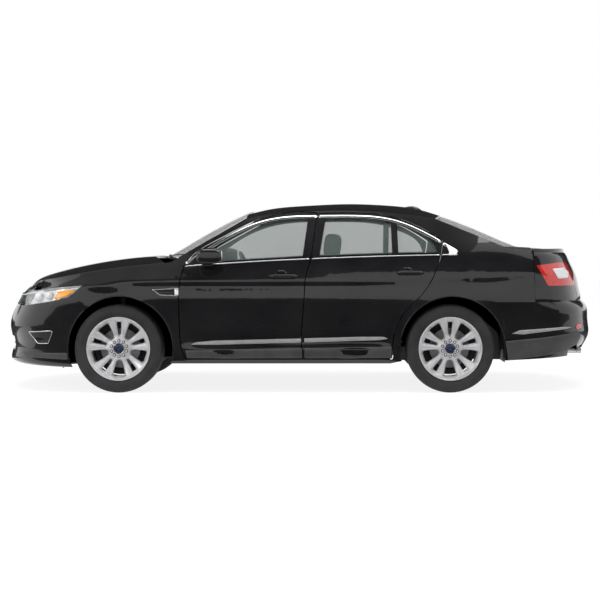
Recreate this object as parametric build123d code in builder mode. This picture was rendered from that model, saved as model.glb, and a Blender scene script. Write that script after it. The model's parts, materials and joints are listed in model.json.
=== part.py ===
from build123d import *
import math
import os

import numpy as np

os.makedirs("parts", exist_ok=True)

# Full-size four-door sedan. The nose points to -X, the left side to -Y, and the tyres stand on Z = 0.
# All sizes are in millimetres.

# Overall sizes
overall_length = 5058
wheelbase = 2732
front_overhang = 1050
body_half_width = 958
roof_height = 1582

# Wheels and tyres
tyre_diameter = 728
tyre_width = 235
tyre_outer_y = 930
rim_radius = 262
hub_bore_radius = 32
spindle_clearance = 0.3
disc_radius = 165
arch_radius = 430
arch_shift = 17
liner_clearance = 38
kingpin_y = 650

# Panels and gaps
fender_thickness = 10
door_thickness = 40
door_depth = 110
roof_thickness = 25
hood_thickness = 22
bumper_thickness = 18
glass_thickness = 5
shut_gap = 8
lamp_depth = 70
lamp_inner_y = 430
lid_half_width = 600

# Hinges
front_hinge_set_back = 90
rear_hinge_set_back = 110
hinge_inset = 27
hinge_pin_radius = 5
hinge_clearance = 0.3
hinge_heights = (580, 800)
hinge_arm_height = 30

# Stations worked out from the driving sizes
nose_tip = -overall_length / 2
tail_tip = overall_length / 2
front_axle = nose_tip + front_overhang
rear_axle = front_axle + wheelbase
axle_height = tyre_diameter / 2
front_arch_x = front_axle + arch_shift
rear_arch_x = rear_axle + arch_shift
wheel_y = tyre_outer_y - tyre_width / 2
sill_bottom = 243
door_bottom = 280


# A natural cubic curve through (station, value) points, straight past both ends.
def smooth_line(points):
    stations = np.array([p[0] for p in points], float)
    values = np.array([p[1] for p in points], float)
    count = len(points)
    gaps = np.diff(stations)
    slopes = np.diff(values) / gaps
    matrix = np.eye(count)
    right = np.zeros(count)
    for i in range(1, count - 1):
        matrix[i, i - 1] = gaps[i - 1]
        matrix[i, i] = 2 * (gaps[i - 1] + gaps[i])
        matrix[i, i + 1] = gaps[i]
        right[i] = 6 * (slopes[i] - slopes[i - 1])
    bends = np.linalg.solve(matrix, right)
    first_slope = slopes[0] - gaps[0] * bends[1] / 6
    last_slope = slopes[-1] + gaps[-1] * bends[-2] / 6

    def value(s):
        if s <= stations[0]:
            return float(values[0] + first_slope * (s - stations[0]))
        if s >= stations[-1]:
            return float(values[-1] + last_slope * (s - stations[-1]))
        i = int(np.searchsorted(stations, s)) - 1
        a = stations[i + 1] - s
        b = s - stations[i]
        cubic = (bends[i] * a**3 + bends[i + 1] * b**3) / (6 * gaps[i])
        linear_a = (values[i] / gaps[i] - bends[i] * gaps[i] / 6) * a
        linear_b = (values[i + 1] / gaps[i] - bends[i + 1] * gaps[i] / 6) * b
        return float(cubic + linear_a + linear_b)

    return value


# Lines of the body, as (x, z) or (x, y) points
belt = smooth_line([(-2200, 870), (-1500, 985), (-935, 1041), (98, 1102), (1304, 1137), (2300, 1150)])
crease = smooth_line([(-2200, 812), (-1500, 890), (-980, 902), (900, 920), (2300, 930)])
plan_line = smooth_line([(-2100, 915), (-1479, 945), (0, 958), (700, 957), (1253, 952), (1800, 930), (2100, 905)])
window_top = smooth_line(
    [(-908, 1079), (-658, 1243), (-325, 1407), (154, 1460), (462, 1461), (820, 1416), (1194, 1235), (1322, 1158)]
)
rail = smooth_line([(-449, 1439), (-150, 1485), (154, 1505), (462, 1507), (820, 1483), (1141, 1440)])
roof_line = smooth_line(
    [(-441, 1502), (-176, 1547), (177, roof_height - 9), (450, roof_height), (706, 1573), (1060, 1529), (1236, 1476)]
)
hood_line = smooth_line([(-2378, 846), (-2326, 898), (-2169, 976), (-1735, 1072), (-1300, 1124), (-1150, 1130)])
screen_line = smooth_line([(1100, -1192), (1176, -1059), (1282, -883), (1379, -706), (1467, -530), (1502, -441)])
backlight_line = smooth_line([(1202, 1943), (1264, 1766), (1343, 1590), (1414, 1413), (1476, 1236)])
deck_line = smooth_line([(1900, 1204), (1943, 1202), (2119, 1193), (2250, 1187), (2330, 1172)])

nose_heights = [182, 233, 285, 336, 439, 490, 542, 593, 645, 696, 747, 799, 850, 930]
nose_setbacks = [188, 94, 17, 17, 26, 4, 0, 9, 26, 51, 77, 105, 129, 230]
tail_heights = [240, 288, 340, 391, 442, 493, 545, 698, 749, 852, 954, 1057, 1108, 1159, 1210]
tail_setbacks = [150, 103, 60, 34, 9, 0, 9, 22, 74, 86, 111, 154, 180, 214, 290]
nose_length = 620
tail_length = 480
end_power = 2.3
belt_tuck = 58
crease_tuck = 6
tumblehome = 0.5
glass_curve = 0.0004
hood_line_rise = 40


def nose_x(z):
    return nose_tip + float(np.interp(z, nose_heights, nose_setbacks))


def tail_x(z):
    return tail_tip - float(np.interp(z, tail_heights, tail_setbacks))


def end_round(s):
    s = min(max(s, 0.0), 1.0)
    return (1 - (1 - s) ** end_power) ** (1 / end_power)


# How far the side lies inside the plan line: sill turn-under, door ledge, undercut and crease.
def side_tuck(x, z):
    crease_z = crease(x)
    if z > crease_z:
        share = (z - crease_z) / (belt(x) - crease_z)
        return crease_tuck + (belt_tuck - crease_tuck) * share**1.3
    levels = [245, 285, 560, 720, crease_z - 60, crease_z - 18, crease_z]
    base = float(np.interp(z, levels, [50, 24, 12, 0, 5, 13, crease_tuck]))
    ledge = float(np.interp(z, [285, 345, 362, 405, 480, 560], [0, -13, -13, 8, 3, 0]))
    fade = min(max((x + 1010) / 210, 0), 1) * min(max((790 - x) / 140, 0), 1)
    return base + ledge * fade


def half_width(x, z):
    rise = z - belt(x)
    if rise > 0:
        width = plan_line(x) - belt_tuck - tumblehome * rise - glass_curve * rise**2
    else:
        width = plan_line(x) - side_tuck(x, z)
    width *= body_half_width / 958
    return width * end_round((x - nose_x(z)) / nose_length) * end_round((tail_x(z) - x) / tail_length)


def hood_edge_y(x):
    return half_width(x, belt(x) + hood_line_rise)


def hood_z(x, y):
    front = min(max((-1700 - x) / 600, 0), 1)
    bow = 130 * (y / 620) ** 2 * front
    middle = hood_line(x - bow)
    edge = belt(x) + hood_line_rise
    share = abs(y) / max(hood_edge_y(x), lamp_inner_y)
    return middle - max(middle - edge, 0) * share**3.2


def roof_z(x, y):
    edge = rail(x)
    share = abs(y) / half_width(x, edge)
    return roof_line(x) - (roof_line(x) - edge) * share**2.4


def deck_z(x, y):
    edge = belt(x) + hood_line_rise
    share = abs(y) / max(half_width(x, edge), lid_half_width)
    return deck_line(x) - max(deck_line(x) - edge, 0) * share**3


# A curved sheet: a line of points on each plane, closed by the same line shifted, and lofted
def lofted_sheet(planes, lines, shift):
    with BuildPart() as sheet:
        for plane, line in zip(planes, lines):
            inner = [(u + shift[0], v + shift[1]) for u, v in line]
            with BuildSketch(plane):
                with BuildLine():
                    Spline(*line)
                    Line(line[-1], inner[-1])
                    Spline(*reversed(inner))
                    Line(inner[0], line[0])
                make_face()
        loft()
    return sheet.part


side_stations = [-2180, -2060, -1900, -1640, -1400, -1010, -800, -300, 200, 650, 790, 1250, 1700, 2060]
side_heights = [236, 285, 345, 362, 405, 480, 600, 720, 845, 885, 910, 960, 1030, 1100, 1220, 1380, 1540]


# A slab of the left side, from one depth below the skin to another
def side_slab(depth, start=0):
    planes = [Plane.YZ.offset(x) for x in side_stations]
    lines = [[(start - half_width(x, z), z) for z in side_heights] for x in side_stations]
    return lofted_sheet(planes, lines, (depth - start, 0))


# A sheet over the body between two stations, given its height and its half width
def top_sheet(height, stations, reach, thickness):
    planes = [Plane.YZ.offset(x) for x in stations]
    lines = [[(y, height(x, y)) for y in np.linspace(-reach, reach, 15).tolist()] for x in stations]
    return lofted_sheet(planes, lines, (0, -thickness))


# A prism of a side-view outline on the left
def side_prism(outline, near=20, far=1300):
    with BuildPart() as prism:
        with BuildSketch(Plane.XZ.offset(near)):
            add(outline)
        extrude(amount=far - near)
    return prism.part


def mirrored(part):
    return mirror(part, about=Plane.XZ)


def write(part, name):
    part.label = name
    export_step(part, f"parts/{name}.step")


def curve_points(line, stations, shift=0.0):
    return [(x, line(x) + shift) for x in stations]


# Side-view outlines of the doors
front_edge_points = [(-941, 1036), (-972, 918), (-980, 726), (-972, 500), (-951, 345), (-918, door_bottom)]
middle_edge_points = [(43, door_bottom), (28, 406), (52, 834), (61, 955), (82, 1031), (103, 1102)]
middle_top = (158, window_top(158) + 28)
rear_edge_top = (1190, window_top(1190) + 18)
rear_edge_points = [rear_edge_top, (1174, 1131), (1150, 1053), (1099, 933), (1025, 823), (950, 746)]
rear_door_arch = 495

# Outline of a left door with every edge moved inwards by a margin, or outwards by a negative one
def front_door_outline(margin):
    front = [(x + margin, z) for x, z in front_edge_points[:-1]]
    front.append((front_edge_points[-1][0] + margin, door_bottom + margin))
    middle = [(x - margin, z) for x, z in middle_edge_points]
    middle[0] = (middle[0][0], door_bottom + margin)
    top = (middle_top[0] - margin, middle_top[1] - margin)
    front[0] = (front[0][0], front[0][1] - margin)
    with BuildSketch() as outline:
        with BuildLine():
            Spline(*front)
            Line(front[-1], middle[0])
            Spline(*middle)
            Line(middle[-1], top)
            Spline(top, *curve_points(window_top, [-325, -658, -880], 28 - margin), front[0])
        make_face()
    return outline.sketch


def rear_door_outline(margin):
    middle = [(x + margin, z) for x, z in middle_edge_points]
    middle[0] = (middle[0][0], door_bottom + margin)
    top = (middle_top[0] + margin, middle_top[1] - margin)
    rear = [(x - margin, z) for x, z in rear_edge_points]
    rear[0] = (rear[0][0], rear[0][1] - margin)
    radius = rear_door_arch + margin
    foot = (rear_arch_x - math.sqrt(radius**2 - (300 - axle_height) ** 2), 300)
    heel = (foot[0] - 8, door_bottom + margin)
    bend = math.radians(25)
    mid_arch = (rear_arch_x - radius * math.cos(bend), axle_height + radius * math.sin(bend))
    with BuildSketch() as outline:
        with BuildLine():
            Line(top, middle[-1])
            Spline(*reversed(middle))
            Polyline(middle[0], heel, foot)
            ThreePointArc(foot, mid_arch, rear[-1])
            Spline(*reversed(rear))
            Spline(rear[0], *curve_points(window_top, [1000, 820, 462], 28 - margin), top)
        make_face()
    return outline.sketch


# Window openings
window_margin = 24
with BuildSketch() as front_window_outline:
    with BuildLine():
        Polyline(
            (78, window_top(78) - window_margin),
            (36, belt(36) + window_margin),
            (-760, belt(-760) + window_margin),
            (-820, belt(-820) + window_margin + 6),
        )
        Spline(
            (-820, belt(-820) + window_margin + 6),
            *curve_points(window_top, [-658, -325, -100], -window_margin),
            (78, window_top(78) - window_margin),
        )
    make_face()

with BuildSketch() as rear_window_outline:
    with BuildLine():
        Polyline(
            (224, window_top(224) - window_margin),
            (172, belt(172) + window_margin),
            (775, belt(775) + window_margin),
            (770, window_top(770) - window_margin),
        )
        Spline(*curve_points(window_top, [770, 600, 400, 224], -window_margin))
    make_face()

with BuildSketch() as quarter_window_outline:
    with BuildLine():
        Polyline(
            (822, window_top(822) - window_margin),
            (826, belt(826) + window_margin),
            (1150, belt(1150) + window_margin),
        )
        Spline((1150, belt(1150) + window_margin), *curve_points(window_top, [1060, 940, 822], -window_margin))
    make_face()

windows = [front_window_outline.sketch, rear_window_outline.sketch, quarter_window_outline.sketch]


door_slab = side_slab(door_thickness)
door_box_slab = side_slab(door_depth, 15)
glass_slab = side_slab((door_thickness + glass_thickness) / 2, (door_thickness - glass_thickness) / 2)
panel_slab = side_slab(fender_thickness)


# One left door: an outer slab with a window frame, and a deeper box below the belt.
def make_door(outline, window_outlines, hinge_x, hinge_y):
    box_start = hinge_x + 60
    with BuildPart() as door:
        add(door_slab)
        add(side_prism(outline(shut_gap / 2)), mode=Mode.INTERSECT)
        for window in window_outlines:
            add(side_prism(window), mode=Mode.SUBTRACT)
    with BuildPart() as inner_box:
        add(door_box_slab)
        add(side_prism(outline(shut_gap / 2 + 26)), mode=Mode.INTERSECT)
        with BuildSketch(Plane.XZ):
            with BuildLine():
                Polyline(
                    (box_start, 0),
                    (box_start, belt(box_start) - 40),
                    (2000, belt(2000) - 58),
                    (2000, 0),
                    close=True,
                )
            make_face()
        extrude(amount=1300, mode=Mode.INTERSECT)
    with BuildPart() as whole:
        add(door.part)
        add(inner_box.part)
        for height in hinge_heights:
            with BuildSketch(Plane.XY.offset(height - hinge_arm_height / 2 - 6)):
                with Locations((hinge_x - 25, -(hinge_y - 95))):
                    Rectangle(150, 210)
            extrude(amount=hinge_arm_height + 12, mode=Mode.SUBTRACT)
            with BuildSketch(Plane.XY.offset(height - hinge_arm_height / 2 - 26)):
                with Locations((hinge_x, -hinge_y)):
                    Circle(hinge_pin_radius + hinge_clearance)
            extrude(amount=hinge_arm_height + 52, mode=Mode.SUBTRACT)
    return whole.part


front_hinge_x = min(p[0] for p in front_edge_points) + front_hinge_set_back
rear_hinge_x = middle_edge_points[2][0] + rear_hinge_set_back
front_hinge_y = half_width(front_hinge_x, 720) - hinge_inset
rear_hinge_y = half_width(rear_hinge_x, 720) - hinge_inset

front_door = make_door(front_door_outline, windows[:1], front_hinge_x, front_hinge_y)
rear_door = make_door(rear_door_outline, windows[1:], rear_hinge_x, rear_hinge_y)
write(front_door, "front_door_left")
write(mirrored(front_door), "front_door_right")
write(rear_door, "rear_door_left")
write(mirrored(rear_door), "rear_door_right")


# Door glass, set in the middle of the window frame
def make_glass(window_outlines):
    with BuildPart() as panes:
        for window in window_outlines:
            add(glass_slab & side_prism(window))
    return panes.part


for glass_name, glass_windows in (("front_door_glass", windows[:1]), ("rear_door_glass", windows[1:])):
    door_glass = make_glass(glass_windows)
    write(door_glass, f"{glass_name}_left")
    write(mirrored(door_glass), f"{glass_name}_right")


# Hinge arms with their pins, reaching out from a pillar to a door's axis
def hinge_arms(hinge_x, hinge_y, pillar_y):
    with BuildPart() as arms:
        for height in hinge_heights:
            reach = hinge_y - pillar_y + 10
            with BuildSketch(Plane.XY.offset(height - hinge_arm_height / 2)):
                with BuildLine():
                    Polyline(
                        (hinge_x, -(hinge_y - reach)),
                        (hinge_x + 45, -(hinge_y - reach)),
                        (hinge_x + 45, -(hinge_y - 60)),
                        (hinge_x + 22, -(hinge_y - 18)),
                        (hinge_x + 6, -hinge_y),
                        (hinge_x - 6, -hinge_y),
                        (hinge_x - 2, -(hinge_y - 20)),
                        (hinge_x, -(hinge_y - 60)),
                        close=True,
                    )
                make_face()
                with Locations((hinge_x, -hinge_y)):
                    Circle(hinge_pin_radius + 3)
            extrude(amount=hinge_arm_height)
            with BuildSketch(Plane.XY.offset(height - hinge_arm_height / 2 - 24)):
                with Locations((hinge_x, -hinge_y)):
                    Circle(hinge_pin_radius)
            extrude(amount=hinge_arm_height + 48)
    return arms.part


# Windscreen and rear window: thin sheets leaning with the glass
def screen_x(y, z):
    return screen_line(z) + 150 * (y / 700) ** 2


def backlight_x(y, z):
    return backlight_line(z) - 200 * (y / 620) ** 2


screen_bottom = 1112
screen_top_centre = 1496


# A leaning sheet between two heights, given its station at each point
def leaning_sheet(station, heights, reach, thickness):
    planes = [Plane.XY.offset(z) for z in heights]
    lines = [[(station(y, z), y) for y in np.linspace(-reach, reach, 13).tolist()] for z in heights]
    return lofted_sheet(planes, lines, (thickness, 0))


with BuildPart() as windscreen:
    with BuildSketch(Plane.YZ.offset(-1400)):
        with BuildLine():
            Polyline((-612, 1432), (-804, screen_bottom), (804, screen_bottom), (612, 1432))
            Spline((612, 1432), (560, 1462), (0, screen_top_centre), (-560, 1462), (-612, 1432))
        make_face()
    extrude(amount=1400)
    screen_heights = [1070, 1150, 1230, 1310, 1390, 1460, 1530]
    add(leaning_sheet(screen_x, screen_heights, 900, glass_thickness * 2), mode=Mode.INTERSECT)
write(windscreen.part, "windscreen")

with BuildPart() as rear_window:
    with BuildSketch(Plane.YZ.offset(900)):
        with BuildLine():
            Polyline((-600, 1425), (-695, 1201), (695, 1201), (600, 1425))
            Spline((600, 1425), (540, 1450), (0, 1472), (-540, 1450), (-600, 1425))
        make_face()
    extrude(amount=1200)
    add(leaning_sheet(backlight_x, [1170, 1250, 1330, 1410, 1480, 1540], 800, -glass_thickness * 2.5), mode=Mode.INTERSECT)
write(rear_window.part, "rear_window")

# Roof panel, cut back round the door tops
roof_front = -447
roof_sides = [(x, half_width(x, rail(x)) - 1) for x in (-440, -150, 154, 462, 820, 1145)]
with BuildPart() as roof_panel:
    with BuildSketch(Plane.XY.offset(1300)):
        with BuildLine():
            Spline((roof_sides[0][0], -roof_sides[0][1]), (roof_front + 4, 0), roof_sides[0])
            Spline(*roof_sides)
            Spline(roof_sides[-1], (1238, 0), (roof_sides[-1][0], -roof_sides[-1][1]))
            Spline(*[(x, -y) for x, y in reversed(roof_sides)])
        make_face()
    extrude(amount=400)
    add(top_sheet(roof_z, np.linspace(-520, 1300, 9).tolist(), 720, roof_thickness), mode=Mode.INTERSECT)
    for outline in (front_door_outline, rear_door_outline):
        cutter = side_prism(outline(-shut_gap / 2), near=450)
        add(cutter, mode=Mode.SUBTRACT)
        add(mirrored(cutter), mode=Mode.SUBTRACT)
    add(windscreen.part, mode=Mode.SUBTRACT)
    add(rear_window.part, mode=Mode.SUBTRACT)
write(roof_panel.part, "roof_panel")

# Front pillars: the screen pillar, and the hinge pillar behind the front wing
pillar_inset = 135
hinge_pillar_y = half_width(front_hinge_x, 720) - pillar_inset
with BuildPart() as front_pillar:
    with BuildSketch(Plane.XZ):
        with BuildLine():
            Polyline((-990, 1060), (-990, 1116), (-449, 1439), (-150, 1485), (60, 1500), (60, 1400), (-820, 1000))
            Line((-820, 1000), (-990, 1060))
        make_face()
    extrude(amount=1300)
    add(door_slab, mode=Mode.INTERSECT)
    add(side_prism(front_door_outline(-shut_gap / 2)), mode=Mode.SUBTRACT)
    with BuildSketch(Plane.XZ.offset(760)):
        with BuildLine():
            Polyline((-1000, 400), (-1000, 1075), (-955, 1075), (-840, 980), (-840, 400), close=True)
        make_face()
    extrude(amount=hinge_pillar_y - 760)
    with BuildSketch(Plane.XZ.offset(780)):
        with BuildLine():
            Polyline((-1000, 1046), (-1000, 1100), (-975, 1112), (-950, 1112), (-950, 1046), close=True)
        make_face()
    extrude(amount=80)
    add(hinge_arms(front_hinge_x, front_hinge_y, hinge_pillar_y))
    add(windscreen.part, mode=Mode.SUBTRACT)
    add(roof_panel.part, mode=Mode.SUBTRACT)
with BuildPart() as front_pillars:
    add(front_pillar.part)
    add(mirrored(front_pillar.part))
write(front_pillars.part, "front_pillars")

# Middle pillars stand behind the doors and carry the rear door hinges.
door_sweep = 38
middle_pillar_y = half_width(rear_hinge_x, 720) - pillar_inset - door_sweep
with BuildPart() as middle_pillar:
    with BuildSketch(Plane.YZ.offset(-20)):
        with BuildLine():
            belt_here = belt(100)
            Polyline(
                (-760, 400),
                (-middle_pillar_y, 400),
                (-middle_pillar_y, belt_here - 52),
                (-(half_width(100, belt_here) - 72), belt_here),
                (-(half_width(100, 1290) - 62), 1290),
                (-(half_width(100, 1440) - 62), 1440),
                (-(half_width(100, 1440) - 100), 1440),
                (-(half_width(100, 1290) - 110), 1290),
                (-745, belt_here - 20),
                (-745, 900),
                close=True,
            )
        make_face()
    extrude(amount=300)
    with BuildSketch(Plane.XZ):
        with BuildLine():
            Polyline((25, 400), (30, 960), (95, 1445), (195, 1445), (175, 1100), (205, 960), (215, 400), close=True)
        make_face()
    extrude(amount=1300, mode=Mode.INTERSECT)
    add(hinge_arms(rear_hinge_x, rear_hinge_y, middle_pillar_y))
with BuildPart() as middle_pillars:
    add(middle_pillar.part)
    add(mirrored(middle_pillar.part))
write(middle_pillars.part, "middle_pillars")


# Side width without the rounding of the two ends
def straight_width(x, z):
    rise = z - belt(x)
    if rise > 0:
        return plan_line(x) - belt_tuck - tumblehome * rise - glass_curve * rise**2
    return plan_line(x) - side_tuck(x, z)


# Plan outline of the nose (direction 1) or the tail (direction -1) at one height, set in by a wall
def end_outline(z, inset, back, tip, reach, direction):
    points = []
    for step in range(0, 7):
        angle = math.pi / 2 * (1 - step / 6)
        x = tip + direction * (inset + (reach - inset) * (1 - math.cos(angle) ** (2 / end_power)))
        share = math.sin(angle) ** (2 / end_power)
        points.append((x, -(straight_width(x, z) - inset) * share))
    side = straight_width(back, z) - inset
    line = [(back, -side)] + points + [(x, -y) for x, y in reversed(points[:-1])] + [(back, side)]
    return line[::-direction]


nose_back = -1690
tail_back = 1570


# A wall round the nose or the tail between two heights, lofted through its plan outlines
def end_shell(tip_line, low, high, count, wall, back, reach, direction):
    with BuildPart() as shell:
        for z in np.linspace(low, high, count).tolist():
            outer = end_outline(z, 0, back, tip_line(z), reach, direction)
            inner = end_outline(z, wall, back, tip_line(z), reach, direction)
            with BuildSketch(Plane.XY.offset(z)):
                with BuildLine():
                    Spline(*outer)
                    Line(outer[-1], inner[-1])
                    Spline(*reversed(inner))
                    Line(inner[0], outer[0])
                make_face()
        loft()
    return shell.part


def nose_shell(low, high, count, wall, back):
    return end_shell(nose_x, low, high, count, wall, back, nose_length, 1)


def tail_shell(low, high, count, wall, back):
    return end_shell(tail_x, low, high, count, wall, back, tail_length, -1)


# Side-view outlines shared by the nose pieces
lamp_top = [(-2300, 842), (-2198, 838), (-1960, 868), (-1775, 886)]
lamp_bottom = [(-1775, 886), (-1886, 790), (-2044, 750), (-2300, 712)]
bumper_seam = [(-1886, 790), (-1862, 792), (-1760, 738)]
front_lip_z = 209


# A box between two corners
def block(low, high):
    with BuildPart() as solid:
        with BuildSketch(Plane.XY.offset(low[2])):
            with Locations(((low[0] + high[0]) / 2, (low[1] + high[1]) / 2)):
                Rectangle(high[0] - low[0], high[1] - low[1])
        extrude(amount=high[2] - low[2])
    return solid.part


# A round bar along Y, as long on both sides of the centre plane
def cross_bar(x, z, radius, half_length):
    with BuildPart() as bar:
        with BuildSketch(Plane.XZ.offset(-half_length)):
            with Locations((x, z)):
                Circle(radius)
        extrude(amount=2 * half_length)
    return bar.part


def polygon_prism(points, half_length):
    with BuildPart() as prism:
        with BuildSketch(Plane.XZ.offset(-half_length)):
            with BuildLine():
                Polyline(*points, close=True)
            make_face()
        extrude(amount=2 * half_length)
    return prism.part


front_arch_bar = cross_bar(front_arch_x, axle_height, arch_radius, 1300)
rear_arch_bar = cross_bar(rear_arch_x, axle_height, arch_radius, 1300)

# Front wings, from the bumper seam to the door, with the wheel arch cut
hood_edge_points = [(x, belt(x) + hood_line_rise) for x in (-2150, -1900, -1600, -1300, -1060)]
wing_rear = [(x - shut_gap / 2, z) for x, z in front_edge_points]
with BuildPart() as left_wing:
    with BuildSketch(Plane.XZ):
        with BuildLine():
            Spline(*hood_edge_points)
            Polyline(hood_edge_points[-1], (-992, 1112), (-992, 1062), wing_rear[0])
            Spline(*wing_rear)
            Polyline(wing_rear[-1], (wing_rear[-1][0], sill_bottom), (bumper_seam[2][0], sill_bottom), bumper_seam[2])
            Polyline(bumper_seam[2], bumper_seam[1], bumper_seam[0], lamp_bottom[0], lamp_top[2], (-2150, 844))
            Line((-2150, 844), hood_edge_points[0])
        make_face()
    extrude(amount=1300)
    add(panel_slab, mode=Mode.INTERSECT)
    add(front_arch_bar, mode=Mode.SUBTRACT)
    add(front_pillar.part, mode=Mode.SUBTRACT)
with BuildPart() as front_wings:
    add(left_wing.part)
    add(mirrored(left_wing.part))
write(front_wings.part, "front_wings")

# Head lamps fill the corner of the nose between the wing, the hood and the bumper.
lamp_band = polygon_prism(lamp_top + lamp_bottom[1:], 1300)
with BuildPart() as headlamps:
    add(nose_shell(700, 900, 5, lamp_depth, nose_back))
    add(lamp_band, mode=Mode.INTERSECT)
    add(block((-3000, -lamp_inner_y, 0), (0, lamp_inner_y, 2000)), mode=Mode.SUBTRACT)
    add(front_wings.part, mode=Mode.SUBTRACT)
write(headlamps.part, "headlamps")

# Front bumper cover, with the lower intake cut
intake_half_width = 520
intake_bottom = 330
intake_top = 445
grille_bottom = 692
seam_x = bumper_seam[2][0]
above_bumper = [(-2700, grille_bottom), (-2300, 712), (-2044, 750), *bumper_seam, (seam_x, 100), (-1600, 100)]
above_bumper += [(-1600, 900), (-2700, 900)]
with BuildPart() as front_bumper:
    add(nose_shell(front_lip_z, 809, 7, bumper_thickness, nose_back))
    add(polygon_prism(above_bumper, 1300), mode=Mode.SUBTRACT)
    add(front_arch_bar, mode=Mode.SUBTRACT)
    add(block((-2700, -intake_half_width, intake_bottom), (-2200, intake_half_width, intake_top)), mode=Mode.SUBTRACT)
write(front_bumper.part, "front_bumper")

# Upper and lower grilles: curved bars across their openings, tied by uprights
grille_top = 790
grille_bars = 5
grille_bar_height = 13
grille_bar_depth = 26
upright_width = 14


# Plan face of one curved bar: an arc through the nose, and the same arc set back
def bar_plan(z, half_span, front_inset, depth):
    share = half_span / straight_width(nose_x(z) + 50, z)
    sag = nose_length * (1 - (1 - share**end_power) ** (1 / end_power))
    tip = nose_x(z) + front_inset
    with BuildSketch(Plane.XY.offset(z)) as plan:
        with BuildLine():
            ThreePointArc((tip + sag, -half_span), (tip, 0), (tip + sag, half_span))
            Line((tip + sag, half_span), (tip + sag + depth, half_span))
            ThreePointArc((tip + sag + depth, half_span), (tip + depth, 0), (tip + sag + depth, -half_span))
            Line((tip + sag + depth, -half_span), (tip + sag, -half_span))
        make_face()
    return plan.sketch


def make_grille(low, high, half_span, bars, bar_height, columns, front_inset):
    pitch = (high - low - bar_height) / (bars - 1)
    column_width = (2 * half_span - upright_width) / columns
    depth = grille_bar_depth + abs(nose_x(high) - nose_x(low)) + front_inset
    with BuildPart() as grille:
        for row in range(bars):
            extrude(bar_plan(low + row * pitch, half_span, front_inset, depth), amount=bar_height)
    back_face = bar_plan(low, half_span, front_inset + depth - grille_bar_depth, grille_bar_depth)
    with BuildPart() as uprights:
        extrude(back_face, amount=high - low)
        for column in range(columns):
            y = -half_span + upright_width + column * column_width
            add(block((-2700, y, low), (-2000, y + column_width - upright_width, high)), mode=Mode.SUBTRACT)
    with BuildPart() as whole:
        add(grille.part)
        add(uprights.part)
    return whole.part


# Two feet carry the upper grille on the inner face of the bumper cover.
grille_foot_y = 240
grille_foot_width = 40
foot_x = nose_x(grille_bottom) + 1.5 * bumper_thickness
with BuildPart() as grille_feet:
    for side in (-1, 1):
        foot_low = (foot_x, side * grille_foot_y - grille_foot_width / 2, grille_bottom - 16)
        foot_high = (foot_x + 42, side * grille_foot_y + grille_foot_width / 2, grille_bottom + 30)
        add(block(foot_low, foot_high))
    add(front_bumper.part, mode=Mode.SUBTRACT)

with BuildPart() as grilles:
    add(make_grille(grille_bottom + 24, grille_top, lamp_inner_y - 1, grille_bars, grille_bar_height, 2, 0))
    add(grille_feet.part)
    add(make_grille(intake_bottom, intake_top, intake_half_width - 1, 3, 10, 3, 6))
write(grilles.part, "grilles")

# Hood, hinged under its rear corners
hood_gap = 17
hood_front = -2378
hood_hinge_x = -1110
hood_hinge_z = 1010
hood_hinge_y = 640
hood_pin_radius = 8
hood_arm_width = 20
hood_sides = [(x, hood_edge_y(x) - hood_gap) for x in (-2230, -2100, -1900, -1600, -1300, -1105)]
hood_arm_points = [
    (-1280, hood_z(-1280, hood_hinge_y) - 9),
    (-1205, hood_z(-1205, hood_hinge_y) - 9),
    (-1165, hood_hinge_z + 14),
    (hood_hinge_x + 14, hood_hinge_z + 14),
    (hood_hinge_x + 14, hood_hinge_z - 14),
    (-1180, hood_hinge_z - 14),
]
with BuildPart() as hood:
    with BuildSketch(Plane.XY.offset(700)):
        with BuildLine():
            Spline((-2230, -hood_sides[0][1]), (-2330, -330), (hood_front, 0), (-2330, 330), hood_sides[0])
            Spline(*hood_sides)
            Spline(hood_sides[-1], (-1270, 0), (hood_sides[-1][0], -hood_sides[-1][1]))
            Spline(*[(x, -y) for x, y in reversed(hood_sides)])
        make_face()
    extrude(amount=600)
    add(top_sheet(hood_z, np.linspace(-2420, -1080, 12).tolist(), 880, hood_thickness), mode=Mode.INTERSECT)
    for side in (-1, 1):
        with BuildSketch(Plane.XZ.offset(-side * hood_hinge_y - hood_arm_width / 2)):
            with BuildLine():
                Polyline(*hood_arm_points, close=True)
            make_face()
        extrude(amount=hood_arm_width)
        with BuildSketch(Plane.XZ.offset(-side * hood_hinge_y - 26)):
            with Locations((hood_hinge_x, hood_hinge_z)):
                Circle(hood_pin_radius)
        extrude(amount=52)
write(hood.part, "hood")

# Tail: the quarter panels, the lamps and the rear bumper
# Station where the tail narrows to a half width, found by halving
def tail_station(y, z):
    near = tail_x(z) - tail_length
    far = tail_x(z)
    for _ in range(30):
        middle = (near + far) / 2
        if half_width(middle, z) > y:
            near = middle
        else:
            far = middle
    return near


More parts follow.
